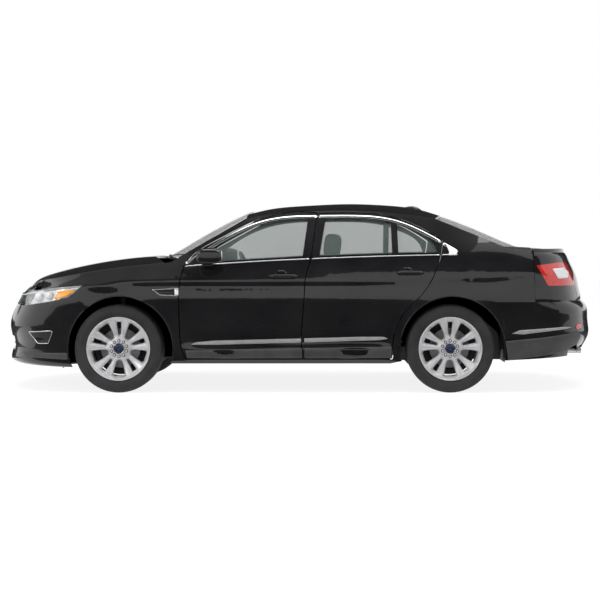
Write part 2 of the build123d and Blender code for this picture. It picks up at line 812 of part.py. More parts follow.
deck_thickness = 46
deck_stations = np.linspace(1900, 2340, 7).tolist()
deck_edge_points = [(x, belt(x) + hood_line_rise) for x in (1700, 1850, 1950)]
tail_seam_z = 748
quarter_join = 1950
quarter_door_edge = [(x + shut_gap / 2, z) for x, z in rear_edge_points]
tail_lamp_points = [(1968, 1049), (2150, 1071), (2600, 1075), (2600, 880), (2062, 882)]
tail_lamp_band = polygon_prism(tail_lamp_points, 1300)
with BuildPart() as left_quarter:
    with BuildSketch(Plane.XZ):
        with BuildLine():
            Polyline((470, 1507), (820, 1483), (1141, 1440), (1740, 1190))
            Spline((1740, 1190), *deck_edge_points[1:])
            Polyline(deck_edge_points[-1], (quarter_join, tail_seam_z), (1570, tail_seam_z), (1570, 420))
            Polyline((1570, 420), (rear_arch_x - 512, sill_bottom), (rear_arch_x - 512, 300), (740, 500), (800, 700))
            Polyline((800, 700), (940, 800), (940, 1300), (470, 1507))
        make_face()
    extrude(amount=1300)
    add(door_slab, mode=Mode.INTERSECT)
    add(side_prism(rear_door_outline(-shut_gap / 2)), mode=Mode.SUBTRACT)
    add(rear_arch_bar, mode=Mode.SUBTRACT)
    add(roof_panel.part, mode=Mode.SUBTRACT)
    add(rear_window.part, mode=Mode.SUBTRACT)

with BuildPart() as tail_corner:
    add(tail_shell(tail_seam_z, 1158, 7, door_thickness, tail_back))
    add(block((quarter_join, -1300, 0), (2700, -lid_half_width - shut_gap / 2, 2000)), mode=Mode.INTERSECT)

shoulder_inner_y = lid_half_width + shut_gap / 2
shoulder_edge = [(x, -half_width(x, 1150) + 3) for x in (quarter_join, 2010, 2070, 2130)]
shoulder_edge.append((tail_station(shoulder_inner_y + 3, 1150), -shoulder_inner_y))
with BuildPart() as deck_shoulder:
    add(top_sheet(deck_z, deck_stations, 900, deck_thickness))
    with BuildSketch(Plane.XY.offset(1000)):
        with BuildLine():
            Polyline(shoulder_edge[-1], (quarter_join, -shoulder_inner_y), shoulder_edge[0])
            Spline(*shoulder_edge)
        make_face()
    extrude(amount=300, mode=Mode.INTERSECT)

with BuildPart() as tail_lamps:
    add(tail_corner.part)
    add(tail_lamp_band, mode=Mode.INTERSECT)
    add(mirrored(tail_lamps.part))
write(tail_lamps.part, "tail_lamps")

with BuildPart() as left_quarter_whole:
    add(left_quarter.part)
    add(tail_corner.part - tail_lamp_band)
    add(deck_shoulder.part)
with BuildPart() as quarter_panels:
    add(left_quarter_whole.part)
    add(mirrored(left_quarter_whole.part))
write(quarter_panels.part, "quarter_panels")

rear_lip_z = 262
exhaust_y = 520
exhaust_z = 332
below_bumper = [(1500, 200), (1500, 500), (1570, 420), (1640, rear_lip_z), (2350, 300), (2700, 330), (2700, 200)]
tip_arch = [(2232, 200), (2246, 350), (2280, 404), (2318, 408), (2344, 360), (2350, 200)]
with BuildPart() as rear_bumper:
    add(tail_shell(rear_lip_z, tail_seam_z, 8, bumper_thickness, tail_back))
    add(polygon_prism(below_bumper, 1300), mode=Mode.SUBTRACT)
    add(polygon_prism(tip_arch, 1300), mode=Mode.SUBTRACT)
    add(rear_arch_bar, mode=Mode.SUBTRACT)
    for side in (-1, 1):
        notch = (side * exhaust_y - 78, side * exhaust_y + 78)
        add(block((2150, notch[0], 200), (2700, notch[1], exhaust_z + 42)), mode=Mode.SUBTRACT)
write(rear_bumper.part, "rear_bumper")

# Trunk lid: the deck and the rear face between the quarter panels, hinged at its front edge
lid_front = 1962
lid_hinge_x = lid_front + 14
lid_hinge_z = deck_line(lid_hinge_x) - 14
lid_pin_radius = 5
lid_hinge_y = 480
lid_notch = 24
lid_reach = lid_half_width - shut_gap / 2
lid_edge = [(tail_station(y, 1156) - 4, y) for y in (lid_reach, 480, 320, 0)]
with BuildPart() as deck:
    add(top_sheet(deck_z, deck_stations, 700, deck_thickness))
    with BuildSketch(Plane.XY.offset(1000)):
        with BuildLine():
            Polyline(lid_edge[0], (lid_front, lid_reach), (lid_front, -lid_reach), (lid_edge[0][0], -lid_reach))
            Spline(*[(x, -y) for x, y in lid_edge], *reversed(lid_edge[:-1]))
        make_face()
    extrude(amount=300, mode=Mode.INTERSECT)

with BuildPart() as trunk_lid:
    add(tail_shell(tail_seam_z + shut_gap, 1156, 7, 30, tail_back))
    add(block((2030, -lid_reach, 0), (2700, lid_reach, 2000)), mode=Mode.INTERSECT)
    add(deck.part)
    for y in (-lid_hinge_y, lid_hinge_y):
        notch = (y - lid_notch / 2, y + lid_notch / 2)
        add(block((lid_front - 10, notch[0], 1000), (lid_hinge_x + 26, notch[1], 1300)), mode=Mode.SUBTRACT)
        with BuildSketch(Plane.XZ.offset(-y - lid_notch / 2 - 6)):
            with Locations((lid_hinge_x, lid_hinge_z)):
                Circle(lid_pin_radius)
        extrude(amount=lid_notch + 12)
write(trunk_lid.part, "trunk_lid")

# Sills under the doors, with a flat jacking pad at each end
sill_inner_y = 740
sill_top = 400
sill_front = wing_rear[-1][0] + 1
sill_rear = rear_arch_x - 512
with BuildPart() as left_sill:
    with BuildSketch(Plane.XZ):
        with BuildLine():
            Polyline(
                (sill_front, sill_bottom),
                (sill_rear, sill_bottom),
                (sill_rear, door_bottom - shut_gap / 2),
                (sill_front, door_bottom - shut_gap / 2),
                close=True,
            )
        make_face()
    extrude(amount=1300)
    add(side_slab(150), mode=Mode.INTERSECT)
    add(block((-1000, -hinge_pillar_y + 18, sill_bottom), (sill_rear, -sill_inner_y, sill_top)))
    add(block((50, -860, 310), (190, -middle_pillar_y - 4, sill_top + 20)), mode=Mode.SUBTRACT)
with BuildPart() as sills:
    add(left_sill.part)
    add(mirrored(left_sill.part))
write(sills.part, "sills")

# Floor, fire wall, rear seat step and trunk floor as one folded sheet
floor_z = 290
floor_sheet = 14
dash_x = -1000
seat_step_x = 760
seat_step_z = 400
trunk_front_x = 1180
trunk_floor_z = seat_step_z + floor_sheet
trunk_half_width = 560
rear_panel_x = 2300
with BuildPart() as floor_pan:
    with BuildSketch(Plane.XZ.offset(-sill_inner_y)):
        with BuildLine():
            Polyline(
                (dash_x, 960),
                (dash_x, floor_z + 160),
                (dash_x + 200, floor_z),
                (seat_step_x, floor_z),
                (seat_step_x + 60, seat_step_z),
                (trunk_front_x, seat_step_z),
                (trunk_front_x, seat_step_z + floor_sheet),
                (seat_step_x + 50, seat_step_z + floor_sheet),
                (seat_step_x - 8, floor_z + floor_sheet),
                (dash_x + 206, floor_z + floor_sheet),
                (dash_x + floor_sheet, floor_z + 168),
                (dash_x + floor_sheet, 960),
                close=True,
            )
        make_face()
    extrude(amount=2 * sill_inner_y)
    add(block((870, -900, 0), (1300, -trunk_half_width, 1000)), mode=Mode.SUBTRACT)
    add(block((870, trunk_half_width, 0), (1300, 900, 1000)), mode=Mode.SUBTRACT)
write(floor_pan.part, "floor_pan")

# Rear structure: trunk floor, inner walls over the wheels, parcel shelf and rear panel
liner_top = axle_height + arch_radius + liner_clearance
liner_wall = 6
shelf_z = 1150
deck_panel_edge = [(1600, 780), (1700, 560), (1840, 200), (1840, -200), (1700, -560), (1600, -780)]
deck_panel_rear = lid_front - 14
with BuildPart() as deck_panel:
    add(top_sheet(deck_z, np.linspace(1540, 2000, 6).tolist(), 800, 20))
    with BuildSketch(Plane.XY.offset(1000)):
        with BuildLine():
            Polyline((deck_panel_rear, -780), (deck_panel_rear, 780), *deck_panel_edge, close=True)
        make_face()
    extrude(amount=400, mode=Mode.INTERSECT)

with BuildPart() as rear_structure:
    add(block((trunk_front_x, -trunk_half_width, seat_step_z), (rear_panel_x, trunk_half_width, trunk_floor_z)))
    add(block((rear_panel_x - floor_sheet, -trunk_half_width, trunk_floor_z), (rear_panel_x, trunk_half_width, 700)))
    for side in (-1, 1):
        inner = side * trunk_half_width
        low_y = min(inner, inner + side * floor_sheet)
        add(block((trunk_front_x, low_y, seat_step_z), (rear_panel_x, low_y + floor_sheet, liner_top)))
        outer = side * 830
        low_y = min(inner, outer)
        high_y = max(inner, outer)
        add(block((trunk_front_x, low_y, liner_top), (1880, high_y, liner_top + floor_sheet)))
        add(block((1860, low_y, liner_top), (1880, high_y, shelf_z - 30)))
    add(block((1400, -800, shelf_z - 30), (1880, 800, shelf_z - 30 + floor_sheet)))
    add(block((1860, -640, shelf_z - 30), (1880, 640, deck_z(1870, 640) - 8)))
    add(deck_panel.part)
    for y in (-lid_hinge_y, lid_hinge_y):
        add(block((deck_panel_rear - 30, y - 8, lid_hinge_z - 9), (lid_hinge_x, y + 8, lid_hinge_z + 8)))
        with BuildSketch(Plane.XZ.offset(-y - 8)):
            with Locations((lid_hinge_x, lid_hinge_z)):
                Circle(lid_pin_radius + 5)
        extrude(amount=16)
        with BuildSketch(Plane.XZ.offset(-y - 9)):
            with Locations((lid_hinge_x, lid_hinge_z)):
                Circle(lid_pin_radius + hinge_clearance)
        extrude(amount=18, mode=Mode.SUBTRACT)
    add(quarter_panels.part, mode=Mode.SUBTRACT)
    add(rear_window.part, mode=Mode.SUBTRACT)
write(rear_structure.part, "rear_structure")

# Front structure: rails, strut towers, upper side members, bumper beam and hood hinge plates
kingpin_radius = 14
strut_pin_length = 30
rail_outer_y = 470
rail_inner_y = 390
with BuildPart() as front_structure:
    for side in (-1, 1):
        low_y = min(side * rail_inner_y, side * rail_outer_y)
        add(block((-2330, low_y, 420), (dash_x, low_y + rail_outer_y - rail_inner_y, 540)))
        member_low = min(side * 700, side * 840)
        add(block((-1750, member_low, liner_top), (dash_x, member_low + 140, liner_top + 90)))
        tower_low = min(side * rail_inner_y, side * 720)
        add(block((front_axle - 90, tower_low, liner_top), (front_axle + 90, tower_low + 720 - rail_inner_y, liner_top + 70)))
        add(block((front_axle - 90, low_y, 500), (front_axle + 90, low_y + rail_outer_y - rail_inner_y, liner_top + 20)))
        with BuildSketch(Plane.XY.offset(liner_top)):
            with Locations((front_axle, side * kingpin_y)):
                Circle(kingpin_radius + hinge_clearance)
        extrude(amount=strut_pin_length + 4, mode=Mode.SUBTRACT)
        plate_low = min(side * (hood_hinge_y + 13), side * (hood_hinge_y + 29))
        with BuildSketch(Plane.XZ.offset(-plate_low)):
            with BuildLine():
                Polyline(
                    (hood_hinge_x - 25, liner_top + 60),
                    (hood_hinge_x - 25, hood_hinge_z + 20),
                    (hood_hinge_x + 22, hood_hinge_z + 20),
                    (hood_hinge_x + 65, hood_hinge_z - 60),
                    (dash_x, hood_hinge_z - 60),
                    (dash_x, liner_top + 60),
                    close=True,
                )
            make_face()
            with Locations((hood_hinge_x, hood_hinge_z)):
                Circle(hood_pin_radius + hinge_clearance, mode=Mode.SUBTRACT)
        extrude(amount=-16)
        link_low = min(side * (hood_hinge_y + 13), side * 720)
        add(block((dash_x - 60, link_low, liner_top + 40), (dash_x, link_low + 720 - hood_hinge_y - 13, liner_top + 80)))
    add(block((-2330, -600, 420), (-2270, 600, 540)))
    add(block((-2560, -140, 480), (-2330, 140, 520)))
    add(front_wings.part, mode=Mode.SUBTRACT)
    add(front_bumper.part, mode=Mode.SUBTRACT)
    add(block((-2700, -1000, 0), (-2512, 1000, 1000)), mode=Mode.SUBTRACT)
write(front_structure.part, "front_structure")

# Cowl tray between the hood and the windscreen
with BuildPart() as cowl:
    add(polygon_prism([(-1262, 1030), (-1262, 1050), (-1085, 1076), (-985, 1076), (-985, 1030)], 612))
    add(block((dash_x, -612, 960), (dash_x + floor_sheet, 612, 1045)))
    add(windscreen.part, mode=Mode.SUBTRACT)
write(cowl.part, "cowl")

# Dashboard with its hood, and the steering column
wheel_rim_radius = 185
column_axis = Vector(0.9, 0, 0.436)
steering_centre = Vector(-430, -370, 985)
column_radius = 26
dash_profile = [(dash_x + floor_sheet, 640), (dash_x + floor_sheet, 1030), (-860, 1062), (-660, 1030), (-620, 960)]
dash_profile += [(-640, 820), (-760, 700)]
with BuildPart() as dashboard:
    add(polygon_prism(dash_profile, 735))
    column_end = steering_centre - column_axis * 46
    with BuildSketch(Plane(origin=column_end, z_dir=-column_axis)):
        Circle(column_radius)
    extrude(amount=330)
    add(block((-780, -105, floor_z + floor_sheet), (-660, 105, 780)))
    add(block((-660, -105, floor_z + floor_sheet), (100, 105, 560)))
    add(cowl.part, mode=Mode.SUBTRACT)
    add(front_pillars.part, mode=Mode.SUBTRACT)
write(dashboard.part, "dashboard")

# Steering wheel: rim, hub and three spokes, turning on the column
with BuildPart() as steering_wheel:
    wheel_plane = Plane(origin=steering_centre, x_dir=(0, 1, 0), z_dir=column_axis)
    with BuildSketch(Plane(origin=steering_centre, x_dir=(0, 1, 0), z_dir=wheel_plane.y_dir)):
        with Locations((wheel_rim_radius, 0)):
            Circle(14)
    revolve(axis=Axis(steering_centre, column_axis))
    with BuildSketch(wheel_plane.offset(-46 + hinge_clearance)):
        Circle(62)
    extrude(amount=52)
    with BuildSketch(wheel_plane.offset(-10)):
        for turn in (0, 180, 270):
            with Locations(Location((0, 0), turn)):
                with Locations((wheel_rim_radius / 2, 0)):
                    Rectangle(wheel_rim_radius, 38)
    extrude(amount=14)
write(steering_wheel.part, "steering_wheel")

# Seats: side profiles extruded to their width, with narrower head rests on the front pair
seat_base_z = floor_z + floor_sheet
front_seat_x = -330
front_seat_y = 370
front_seat_width = 500
head_rest_width = 260
front_profile = [(0, 0), (0, 210), (-30, 330), (20, 350), (400, 290), (520, 640), (560, 880), (690, 880), (640, 560)]
front_profile += [(560, 200), (540, 0)]
head_profile = [(585, 900), (560, 1060), (590, 1100), (690, 1100), (700, 900)]
head_rest_drop = 90
with BuildPart() as front_seats:
    for side in (-1, 1):
        middle_y = side * front_seat_y
        with BuildSketch(Plane.XZ.offset(-middle_y - front_seat_width / 2)):
            with BuildLine():
                Polyline(*[(front_seat_x + x, seat_base_z + z) for x, z in front_profile], close=True)
            make_face()
        extrude(amount=front_seat_width)
        with BuildSketch(Plane.XZ.offset(-middle_y - head_rest_width / 2)):
            with BuildLine():
                Polyline(*[(front_seat_x + x, seat_base_z - head_rest_drop + z) for x, z in head_profile], close=True)
            make_face()
        extrude(amount=head_rest_width)
write(front_seats.part, "front_seats")

rear_seat_z = seat_step_z + floor_sheet
rear_seat_half = trunk_half_width - 12
rear_profile = [(830, 0), (780, 150), (800, 210), (1190, 170), (1330, 640), (1350, 700), (1430, 700), (1290, 100)]
rear_profile += [(1180, 0)]
with BuildPart() as rear_seat:
    with BuildSketch(Plane.XZ.offset(-rear_seat_half)):
        with BuildLine():
            Polyline(*[(x, rear_seat_z + z) for x, z in rear_profile], close=True)
        make_face()
    extrude(amount=2 * rear_seat_half)
write(rear_seat.part, "rear_seat")

# Engine with its gearbox, radiator, and the subframes that carry the suspension
subframe_z = 215
subframe_height = 70
engine_low = subframe_z + subframe_height
with BuildPart() as engine_block:
    add(block((-2010, -330, engine_low), (-1400, 330, 700)))
    add(block((-1980, -250, 700), (-1480, 250, 880)))
    add(block((-1400, -170, engine_low), (-1120, 170, 560)))
write(engine_block.part, "engine_block")

with BuildPart() as radiator:
    add(block((-2270, -380, 300), (-2215, 380, 700)))
    add(front_structure.part, mode=Mode.SUBTRACT)
write(radiator.part, "radiator")

arm_z = 225
arm_height = 36
with BuildPart() as front_subframe:
    add(block((-1760, -420, subframe_z), (-1640, 420, engine_low)))
    add(block((-1300, -420, subframe_z), (-1180, 420, engine_low)))
    for side in (-1, 1):
        low_y = min(side * 330, side * 420)
        add(block((-1760, low_y, subframe_z), (-1180, low_y + 90, engine_low)))
        post_low = min(side * rail_inner_y, side * 420)
        add(block((-1740, post_low, engine_low), (-1680, post_low + 30, 420)))
        add(block((-1260, post_low, engine_low), (-1200, post_low + 30, 420)))
        with BuildSketch(Plane.XY.offset(arm_z)):
            with BuildLine():
                Polyline(
                    (front_axle - 170, side * 400),
                    (front_axle + 170, side * 400),
                    (front_axle + 34, side * kingpin_y),
                    (front_axle - 34, side * kingpin_y),
                    close=True,
                )
            make_face()
            with Locations((front_axle, side * kingpin_y)):
                Circle(34)
                Circle(kingpin_radius + hinge_clearance, mode=Mode.SUBTRACT)
        extrude(amount=arm_height)
write(front_subframe.part, "front_subframe")


# Steering knuckle: lower pin, upright, strut up to the tower, and the spindle
spindle_length = 90
upright_radius = 30
strut_radius = 24


def make_knuckle(side):
    pivot = (front_axle, side * kingpin_y)
    upright_low = arm_z + arm_height + 1
    with BuildPart() as knuckle:
        with BuildSketch(Plane.XY.offset(arm_z - 6)):
            with Locations(pivot):
                Circle(kingpin_radius)
        extrude(amount=arm_height + 20)
        with BuildSketch(Plane.XY.offset(upright_low)):
            with Locations(pivot):
                Circle(upright_radius)
        extrude(amount=axle_height + 110 - upright_low)
        with BuildSketch(Plane.XY.offset(axle_height)):
            with Locations(pivot):
                Circle(strut_radius)
        extrude(amount=liner_top - liner_wall - 6 - axle_height)
        with BuildSketch(Plane.XY.offset(axle_height)):
            with Locations(pivot):
                Circle(kingpin_radius)
        extrude(amount=liner_top + strut_pin_length - axle_height)
        with BuildSketch(Plane.XZ.offset(-side * kingpin_y)):
            with Locations((front_axle, axle_height)):
                Circle(hub_bore_radius - spindle_clearance)
        extrude(amount=-side * (wheel_y - 60 - kingpin_y + spindle_length))
    return knuckle.part


for side_name, side in (("left", -1), ("right", 1)):
    write(make_knuckle(side), f"knuckle_{side_name}")

with BuildPart() as rear_subframe:
    add(block((rear_axle - 180, -520, 300), (rear_axle + 180, 520, 380)))
    add(block((rear_axle - 180, -60, 380), (rear_axle + 180, 60, seat_step_z)))
    spindle_reach = wheel_y - 60 + spindle_length
    add(cross_bar(rear_axle, axle_height, hub_bore_radius - spindle_clearance, spindle_reach))
    for side in (-1, 1):
        post_low = min(side * 500, side * 650)
        add(block((rear_axle - 60, post_low, 290), (rear_axle + 60, post_low + 150, 395)))
write(rear_subframe.part, "rear_subframe")

# Wheels: a rim with five pairs of spokes and the brake disc behind it, and a tyre
tyre_radius = tyre_diameter / 2
bead_radius = rim_radius - 12
rim_half = 112
spoke_pairs = 5
slot_half_width = 20


def make_rim(x, side):
    centre = Vector(x, side * wheel_y, axle_height)
    face = Plane(origin=centre, x_dir=(1, 0, 0), z_dir=(0, side, 0))
    section = Plane(origin=centre, x_dir=(1, 0, 0), z_dir=(0, 0, -side))
    with BuildPart() as rim:
        with BuildSketch(section):
            with BuildLine():
                Polyline(
                    (hub_bore_radius, -40),
                    (disc_radius, -40),
                    (disc_radius, -14),
                    (95, -14),
                    (95, 50),
                    (rim_radius - 26, 84),
                    (rim_radius - 26, -rim_half),
                    (rim_radius, -rim_half),
                    (rim_radius, -rim_half + 10),
                    (bead_radius, -rim_half + 12),
                    (bead_radius, rim_half - 12),
                    (rim_radius, rim_half - 10),
                    (rim_radius, rim_half),
                    (rim_radius - 14, rim_half),
                    (60, 82),
                    (hub_bore_radius, 82),
                    close=True,
                )
            make_face()
        revolve(axis=Axis(centre, (0, side, 0)))
        with BuildSketch(face):
            for pair in range(spoke_pairs):
                with Locations(Location((0, 0), 90 + 360 / spoke_pairs * pair)):
                    with Locations((165, 0)):
                        Rectangle(130, 2 * slot_half_width)
                with Locations(Location((0, 0), 90 + 360 / spoke_pairs * (pair + 0.5))):
                    with BuildLine(mode=Mode.PRIVATE) as window_edge:
                        Polyline((105, -14), (232, -70), (232, 70), (105, 14), close=True)
                    make_face(window_edge.line.edges())
        extrude(amount=rim_half + 20, mode=Mode.SUBTRACT)
    return rim.part


def make_tyre(x, side):
    centre = Vector(x, side * wheel_y, axle_height)
    section = Plane(origin=centre, x_dir=(1, 0, 0), z_dir=(0, 0, -side))
    half = tyre_width / 2
    with BuildPart() as tyre:
        with BuildSketch(section):
            with BuildLine():
                Polyline(
                    (bead_radius, -rim_half + 12),
                    (bead_radius, rim_half - 12),
                    (rim_radius, rim_half - 10),
                    (rim_radius + 8, rim_half - 3),
                    (tyre_radius - 62, half),
                    (tyre_radius - 22, half - 8),
                    (tyre_radius, half - 30),
                    (tyre_radius, -half + 30),
                    (tyre_radius - 22, -half + 8),
                    (tyre_radius - 62, -half),
                    (rim_radius + 8, -rim_half + 3),
                    (rim_radius, -rim_half + 10),
                    close=True,
                )
            make_face()
        revolve(axis=Axis(centre, (0, side, 0)))
    return tyre.part


for end_name, axle_x in (("front", front_axle), ("rear", rear_axle)):
    for side_name, side in (("left", -1), ("right", 1)):
        write(make_rim(axle_x, side), f"wheel_{end_name}_{side_name}")
        write(make_tyre(axle_x, side), f"tyre_{end_name}_{side_name}")

# Wheel arch liners: folded sheets over each wheel
liner_half_length = 330
liner_inner_y = 576
liner_outer_y = 826


# Hole in a front liner for the strut pin
def strut_hole(side):
    with BuildPart() as hole:
        with BuildSketch(Plane.XY.offset(liner_top - 30)):
            with Locations((front_axle, side * kingpin_y)):
                Circle(strut_radius + 6)
        extrude(amount=60)
    return hole.part


with BuildPart() as wheel_liners:
    for x in (front_axle, rear_axle):
        for side in (-1, 1):
            low_y = min(side * liner_inner_y, side * liner_outer_y)
            high_y = low_y + liner_outer_y - liner_inner_y
            low = (x - liner_half_length, low_y, liner_top - liner_wall)
            add(block(low, (x + liner_half_length, high_y, liner_top)))
            if x == front_axle:
                add(strut_hole(side), mode=Mode.SUBTRACT)
write(wheel_liners.part, "wheel_liners")

# Fuel tank under the rear seat, and the exhaust with twin tips
with BuildPart() as fuel_tank:
    add(block((826, -480, 235), (1050, 480, seat_step_z)))
write(fuel_tank.part, "fuel_tank")

with BuildPart() as exhaust:
    for side in (-1, 1):
        tip_y = side * exhaust_y
        inner_y = tip_y - side * 330
        with BuildSketch(Plane.YZ.offset(2180)):
            with Locations((tip_y, exhaust_z)):
                SlotOverall(120, 62)
                SlotOverall(108, 50, mode=Mode.SUBTRACT)
        extrude(amount=212)
        add(block((1760, min(tip_y, inner_y), 290), (2200, max(tip_y, inner_y), trunk_floor_z - floor_sheet)))
write(exhaust.part, "exhaust")

# Door mirrors: a rounded housing on a foot that stands on the door below the window
mirror_front = -808
mirror_length = 172
mirror_reach = 1082
mirror_inner_y = 938
mirror_low = 1070
mirror_high = 1182
with BuildPart() as left_mirror:
    with BuildSketch(Plane.XZ.offset(mirror_inner_y)):
        with Locations((mirror_front + mirror_length / 2, (mirror_low + mirror_high) / 2)):
            RectangleRounded(mirror_length, mirror_high - mirror_low, 38)
    extrude(amount=mirror_reach - mirror_inner_y)
    fillet(left_mirror.edges().group_by(Axis.Y)[0], radius=24)
    add(block((-792, -mirror_inner_y - 40, 1036), (-690, -874, mirror_low + 4)))
    add(block((-792, -mirror_inner_y - 40, 1036), (-690, -mirror_inner_y - 4, mirror_low + 30)))
    add(front_door, mode=Mode.SUBTRACT)
write(left_mirror.part, "mirror_left")
write(mirrored(left_mirror.part), "mirror_right")
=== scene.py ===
import json
import math

import bmesh
import bpy
import numpy as np
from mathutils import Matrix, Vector
from mathutils.geometry import delaunay_2d_cdt


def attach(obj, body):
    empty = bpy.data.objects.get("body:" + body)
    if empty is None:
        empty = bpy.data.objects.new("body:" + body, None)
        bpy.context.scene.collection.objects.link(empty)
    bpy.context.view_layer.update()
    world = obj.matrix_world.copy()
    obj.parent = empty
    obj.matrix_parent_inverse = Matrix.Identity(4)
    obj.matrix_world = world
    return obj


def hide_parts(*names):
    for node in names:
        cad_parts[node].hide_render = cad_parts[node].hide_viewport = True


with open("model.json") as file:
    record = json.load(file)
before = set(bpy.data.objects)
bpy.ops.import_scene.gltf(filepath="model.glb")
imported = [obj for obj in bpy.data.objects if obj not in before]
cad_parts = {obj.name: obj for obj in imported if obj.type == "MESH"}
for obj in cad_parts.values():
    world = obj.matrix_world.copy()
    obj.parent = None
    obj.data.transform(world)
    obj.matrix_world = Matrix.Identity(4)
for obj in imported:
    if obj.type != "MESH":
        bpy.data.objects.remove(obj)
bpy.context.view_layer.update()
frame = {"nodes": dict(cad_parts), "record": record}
scene = bpy.context.scene
scene.view_settings.view_transform = "Standard"
print("frame loaded:", len(frame["nodes"]), "nodes")

# lines of the body in metres, the same as the solids are lofted from
bodyLines = {
    "belt": [(-2.2, .87), (-1.5, .985), (-.935, 1.041), (.098, 1.102), (1.304, 1.137), (2.3, 1.15)],
    "crease": [(-2.2, .812), (-1.5, .89), (-.98, .902), (.9, .92), (2.3, .93)],
    "plan": [(-2.1, .915), (-1.479, .945), (0, .958), (.7, .957), (1.253, .952), (1.8, .93), (2.1, .905)],
    "windowTop": [(-.908, 1.079), (-.658, 1.243), (-.325, 1.407), (.154, 1.46), (.462, 1.461), (.82, 1.416),
                  (1.194, 1.235), (1.322, 1.158)],
    "roof": [(-.441, 1.502), (-.176, 1.547), (.177, 1.573), (.45, 1.582), (.706, 1.573),
             (1.06, 1.529), (1.236, 1.476)],
    "screen": [(1.1, -1.192), (1.176, -1.059), (1.282, -.883), (1.379, -.706), (1.467, -.53), (1.502, -.441)],
}
noseHeights = [.182, .233, .285, .336, .439, .49, .542, .593, .645, .696, .747, .799, .85, .93]
noseSetbacks = [.188, .094, .017, .017, .026, .004, 0, .009, .026, .051, .077, .105, .129, .23]
tailHeights = [.24, .288, .34, .391, .442, .493, .545, .698, .749, .852, .954, 1.057, 1.108, 1.159, 1.21]
tailSetbacks = [.15, .103, .06, .034, .009, 0, .009, .022, .074, .086, .111, .154, .18, .214, .29]
tipX = 2.529


def smoothLine(points):
    xs = np.array([p[0] for p in points], float)
    vs = np.array([p[1] for p in points], float)
    n = len(points)
    gaps = np.diff(xs)
    slopes = np.diff(vs) / gaps
    matrix = np.eye(n)
    right = np.zeros(n)
    for i in range(1, n - 1):
        matrix[i, i - 1] = gaps[i - 1]
        matrix[i, i] = 2 * (gaps[i - 1] + gaps[i])
        matrix[i, i + 1] = gaps[i]
        right[i] = 6 * (slopes[i] - slopes[i - 1])
    bends = np.linalg.solve(matrix, right)
    firstSlope = slopes[0] - gaps[0] * bends[1] / 6
    lastSlope = slopes[-1] + gaps[-1] * bends[-2] / 6

    def value(s):
        if s <= xs[0]:
            return float(vs[0] + firstSlope * (s - xs[0]))
        if s >= xs[-1]:
            return float(vs[-1] + lastSlope * (s - xs[-1]))
        i = int(np.searchsorted(xs, s)) - 1
        a = xs[i + 1] - s
        b = s - xs[i]
        cubic = (bends[i] * a**3 + bends[i + 1] * b**3) / (6 * gaps[i])
        return float(cubic + (vs[i] / gaps[i] - bends[i] * gaps[i] / 6) * a
                     + (vs[i + 1] / gaps[i] - bends[i + 1] * gaps[i] / 6) * b)

    return value


lines = {name: smoothLine(points) for name, points in bodyLines.items()}
belt = lines["belt"]


def noseX(z):
    return -tipX + float(np.interp(z, noseHeights, noseSetbacks))


def tailX(z):
    return tipX - float(np.interp(z, tailHeights, tailSetbacks))


def endRound(s):
    s = min(max(s, 0.0), 1.0)
    return (1 - (1 - s) ** 2.3) ** (1 / 2.3)


def sideTuck(x, z):
    creaseZ = lines["crease"](x)
    if z > creaseZ:
        share = (z - creaseZ) / (belt(x) - creaseZ)
        return .006 + .052 * share**1.3
    levels = [.245, .285, .56, .72, creaseZ - .06, creaseZ - .018, creaseZ]
    base = float(np.interp(z, levels, [.05, .024, .012, 0, .005, .013, .006]))
    ledge = float(np.interp(z, [.285, .345, .362, .405, .48, .56], [0, -.013, -.013, .008, .003, 0]))
    fade = min(max((x + 1.01) / .21, 0), 1) * min(max((.79 - x) / .14, 0), 1)
    return base + ledge * fade


def halfWidth(x, z):
    rise = z - belt(x)
    if rise > 0:
        width = lines["plan"](x) - .058 - .5 * rise - .4 * rise**2
    else:
        width = lines["plan"](x) - sideTuck(x, z)
    return width * endRound((x - noseX(z)) / .62) * endRound((tailX(z) - x) / .48)


def onSide(x, z, side, out=0.0):
    return (x, side * (halfWidth(x, z) + out), z)


def photoPoint(px, py):
    return ((px - 298) * .0082, (393.5 - py) * .0082)  # a place on the near side, read off the photograph


sides = (("left", -1), ("right", 1))


# materials
def newMaterial(name, baseColor, roughness, metallic=0.0):
    mat = bpy.data.materials.new(name)
    mat.use_nodes = True
    shader = mat.node_tree.nodes["Principled BSDF"]
    shader.inputs["Base Color"].default_value = (*baseColor, 1)
    shader.inputs["Roughness"].default_value = roughness
    shader.inputs["Metallic"].default_value = metallic
    return mat, shader


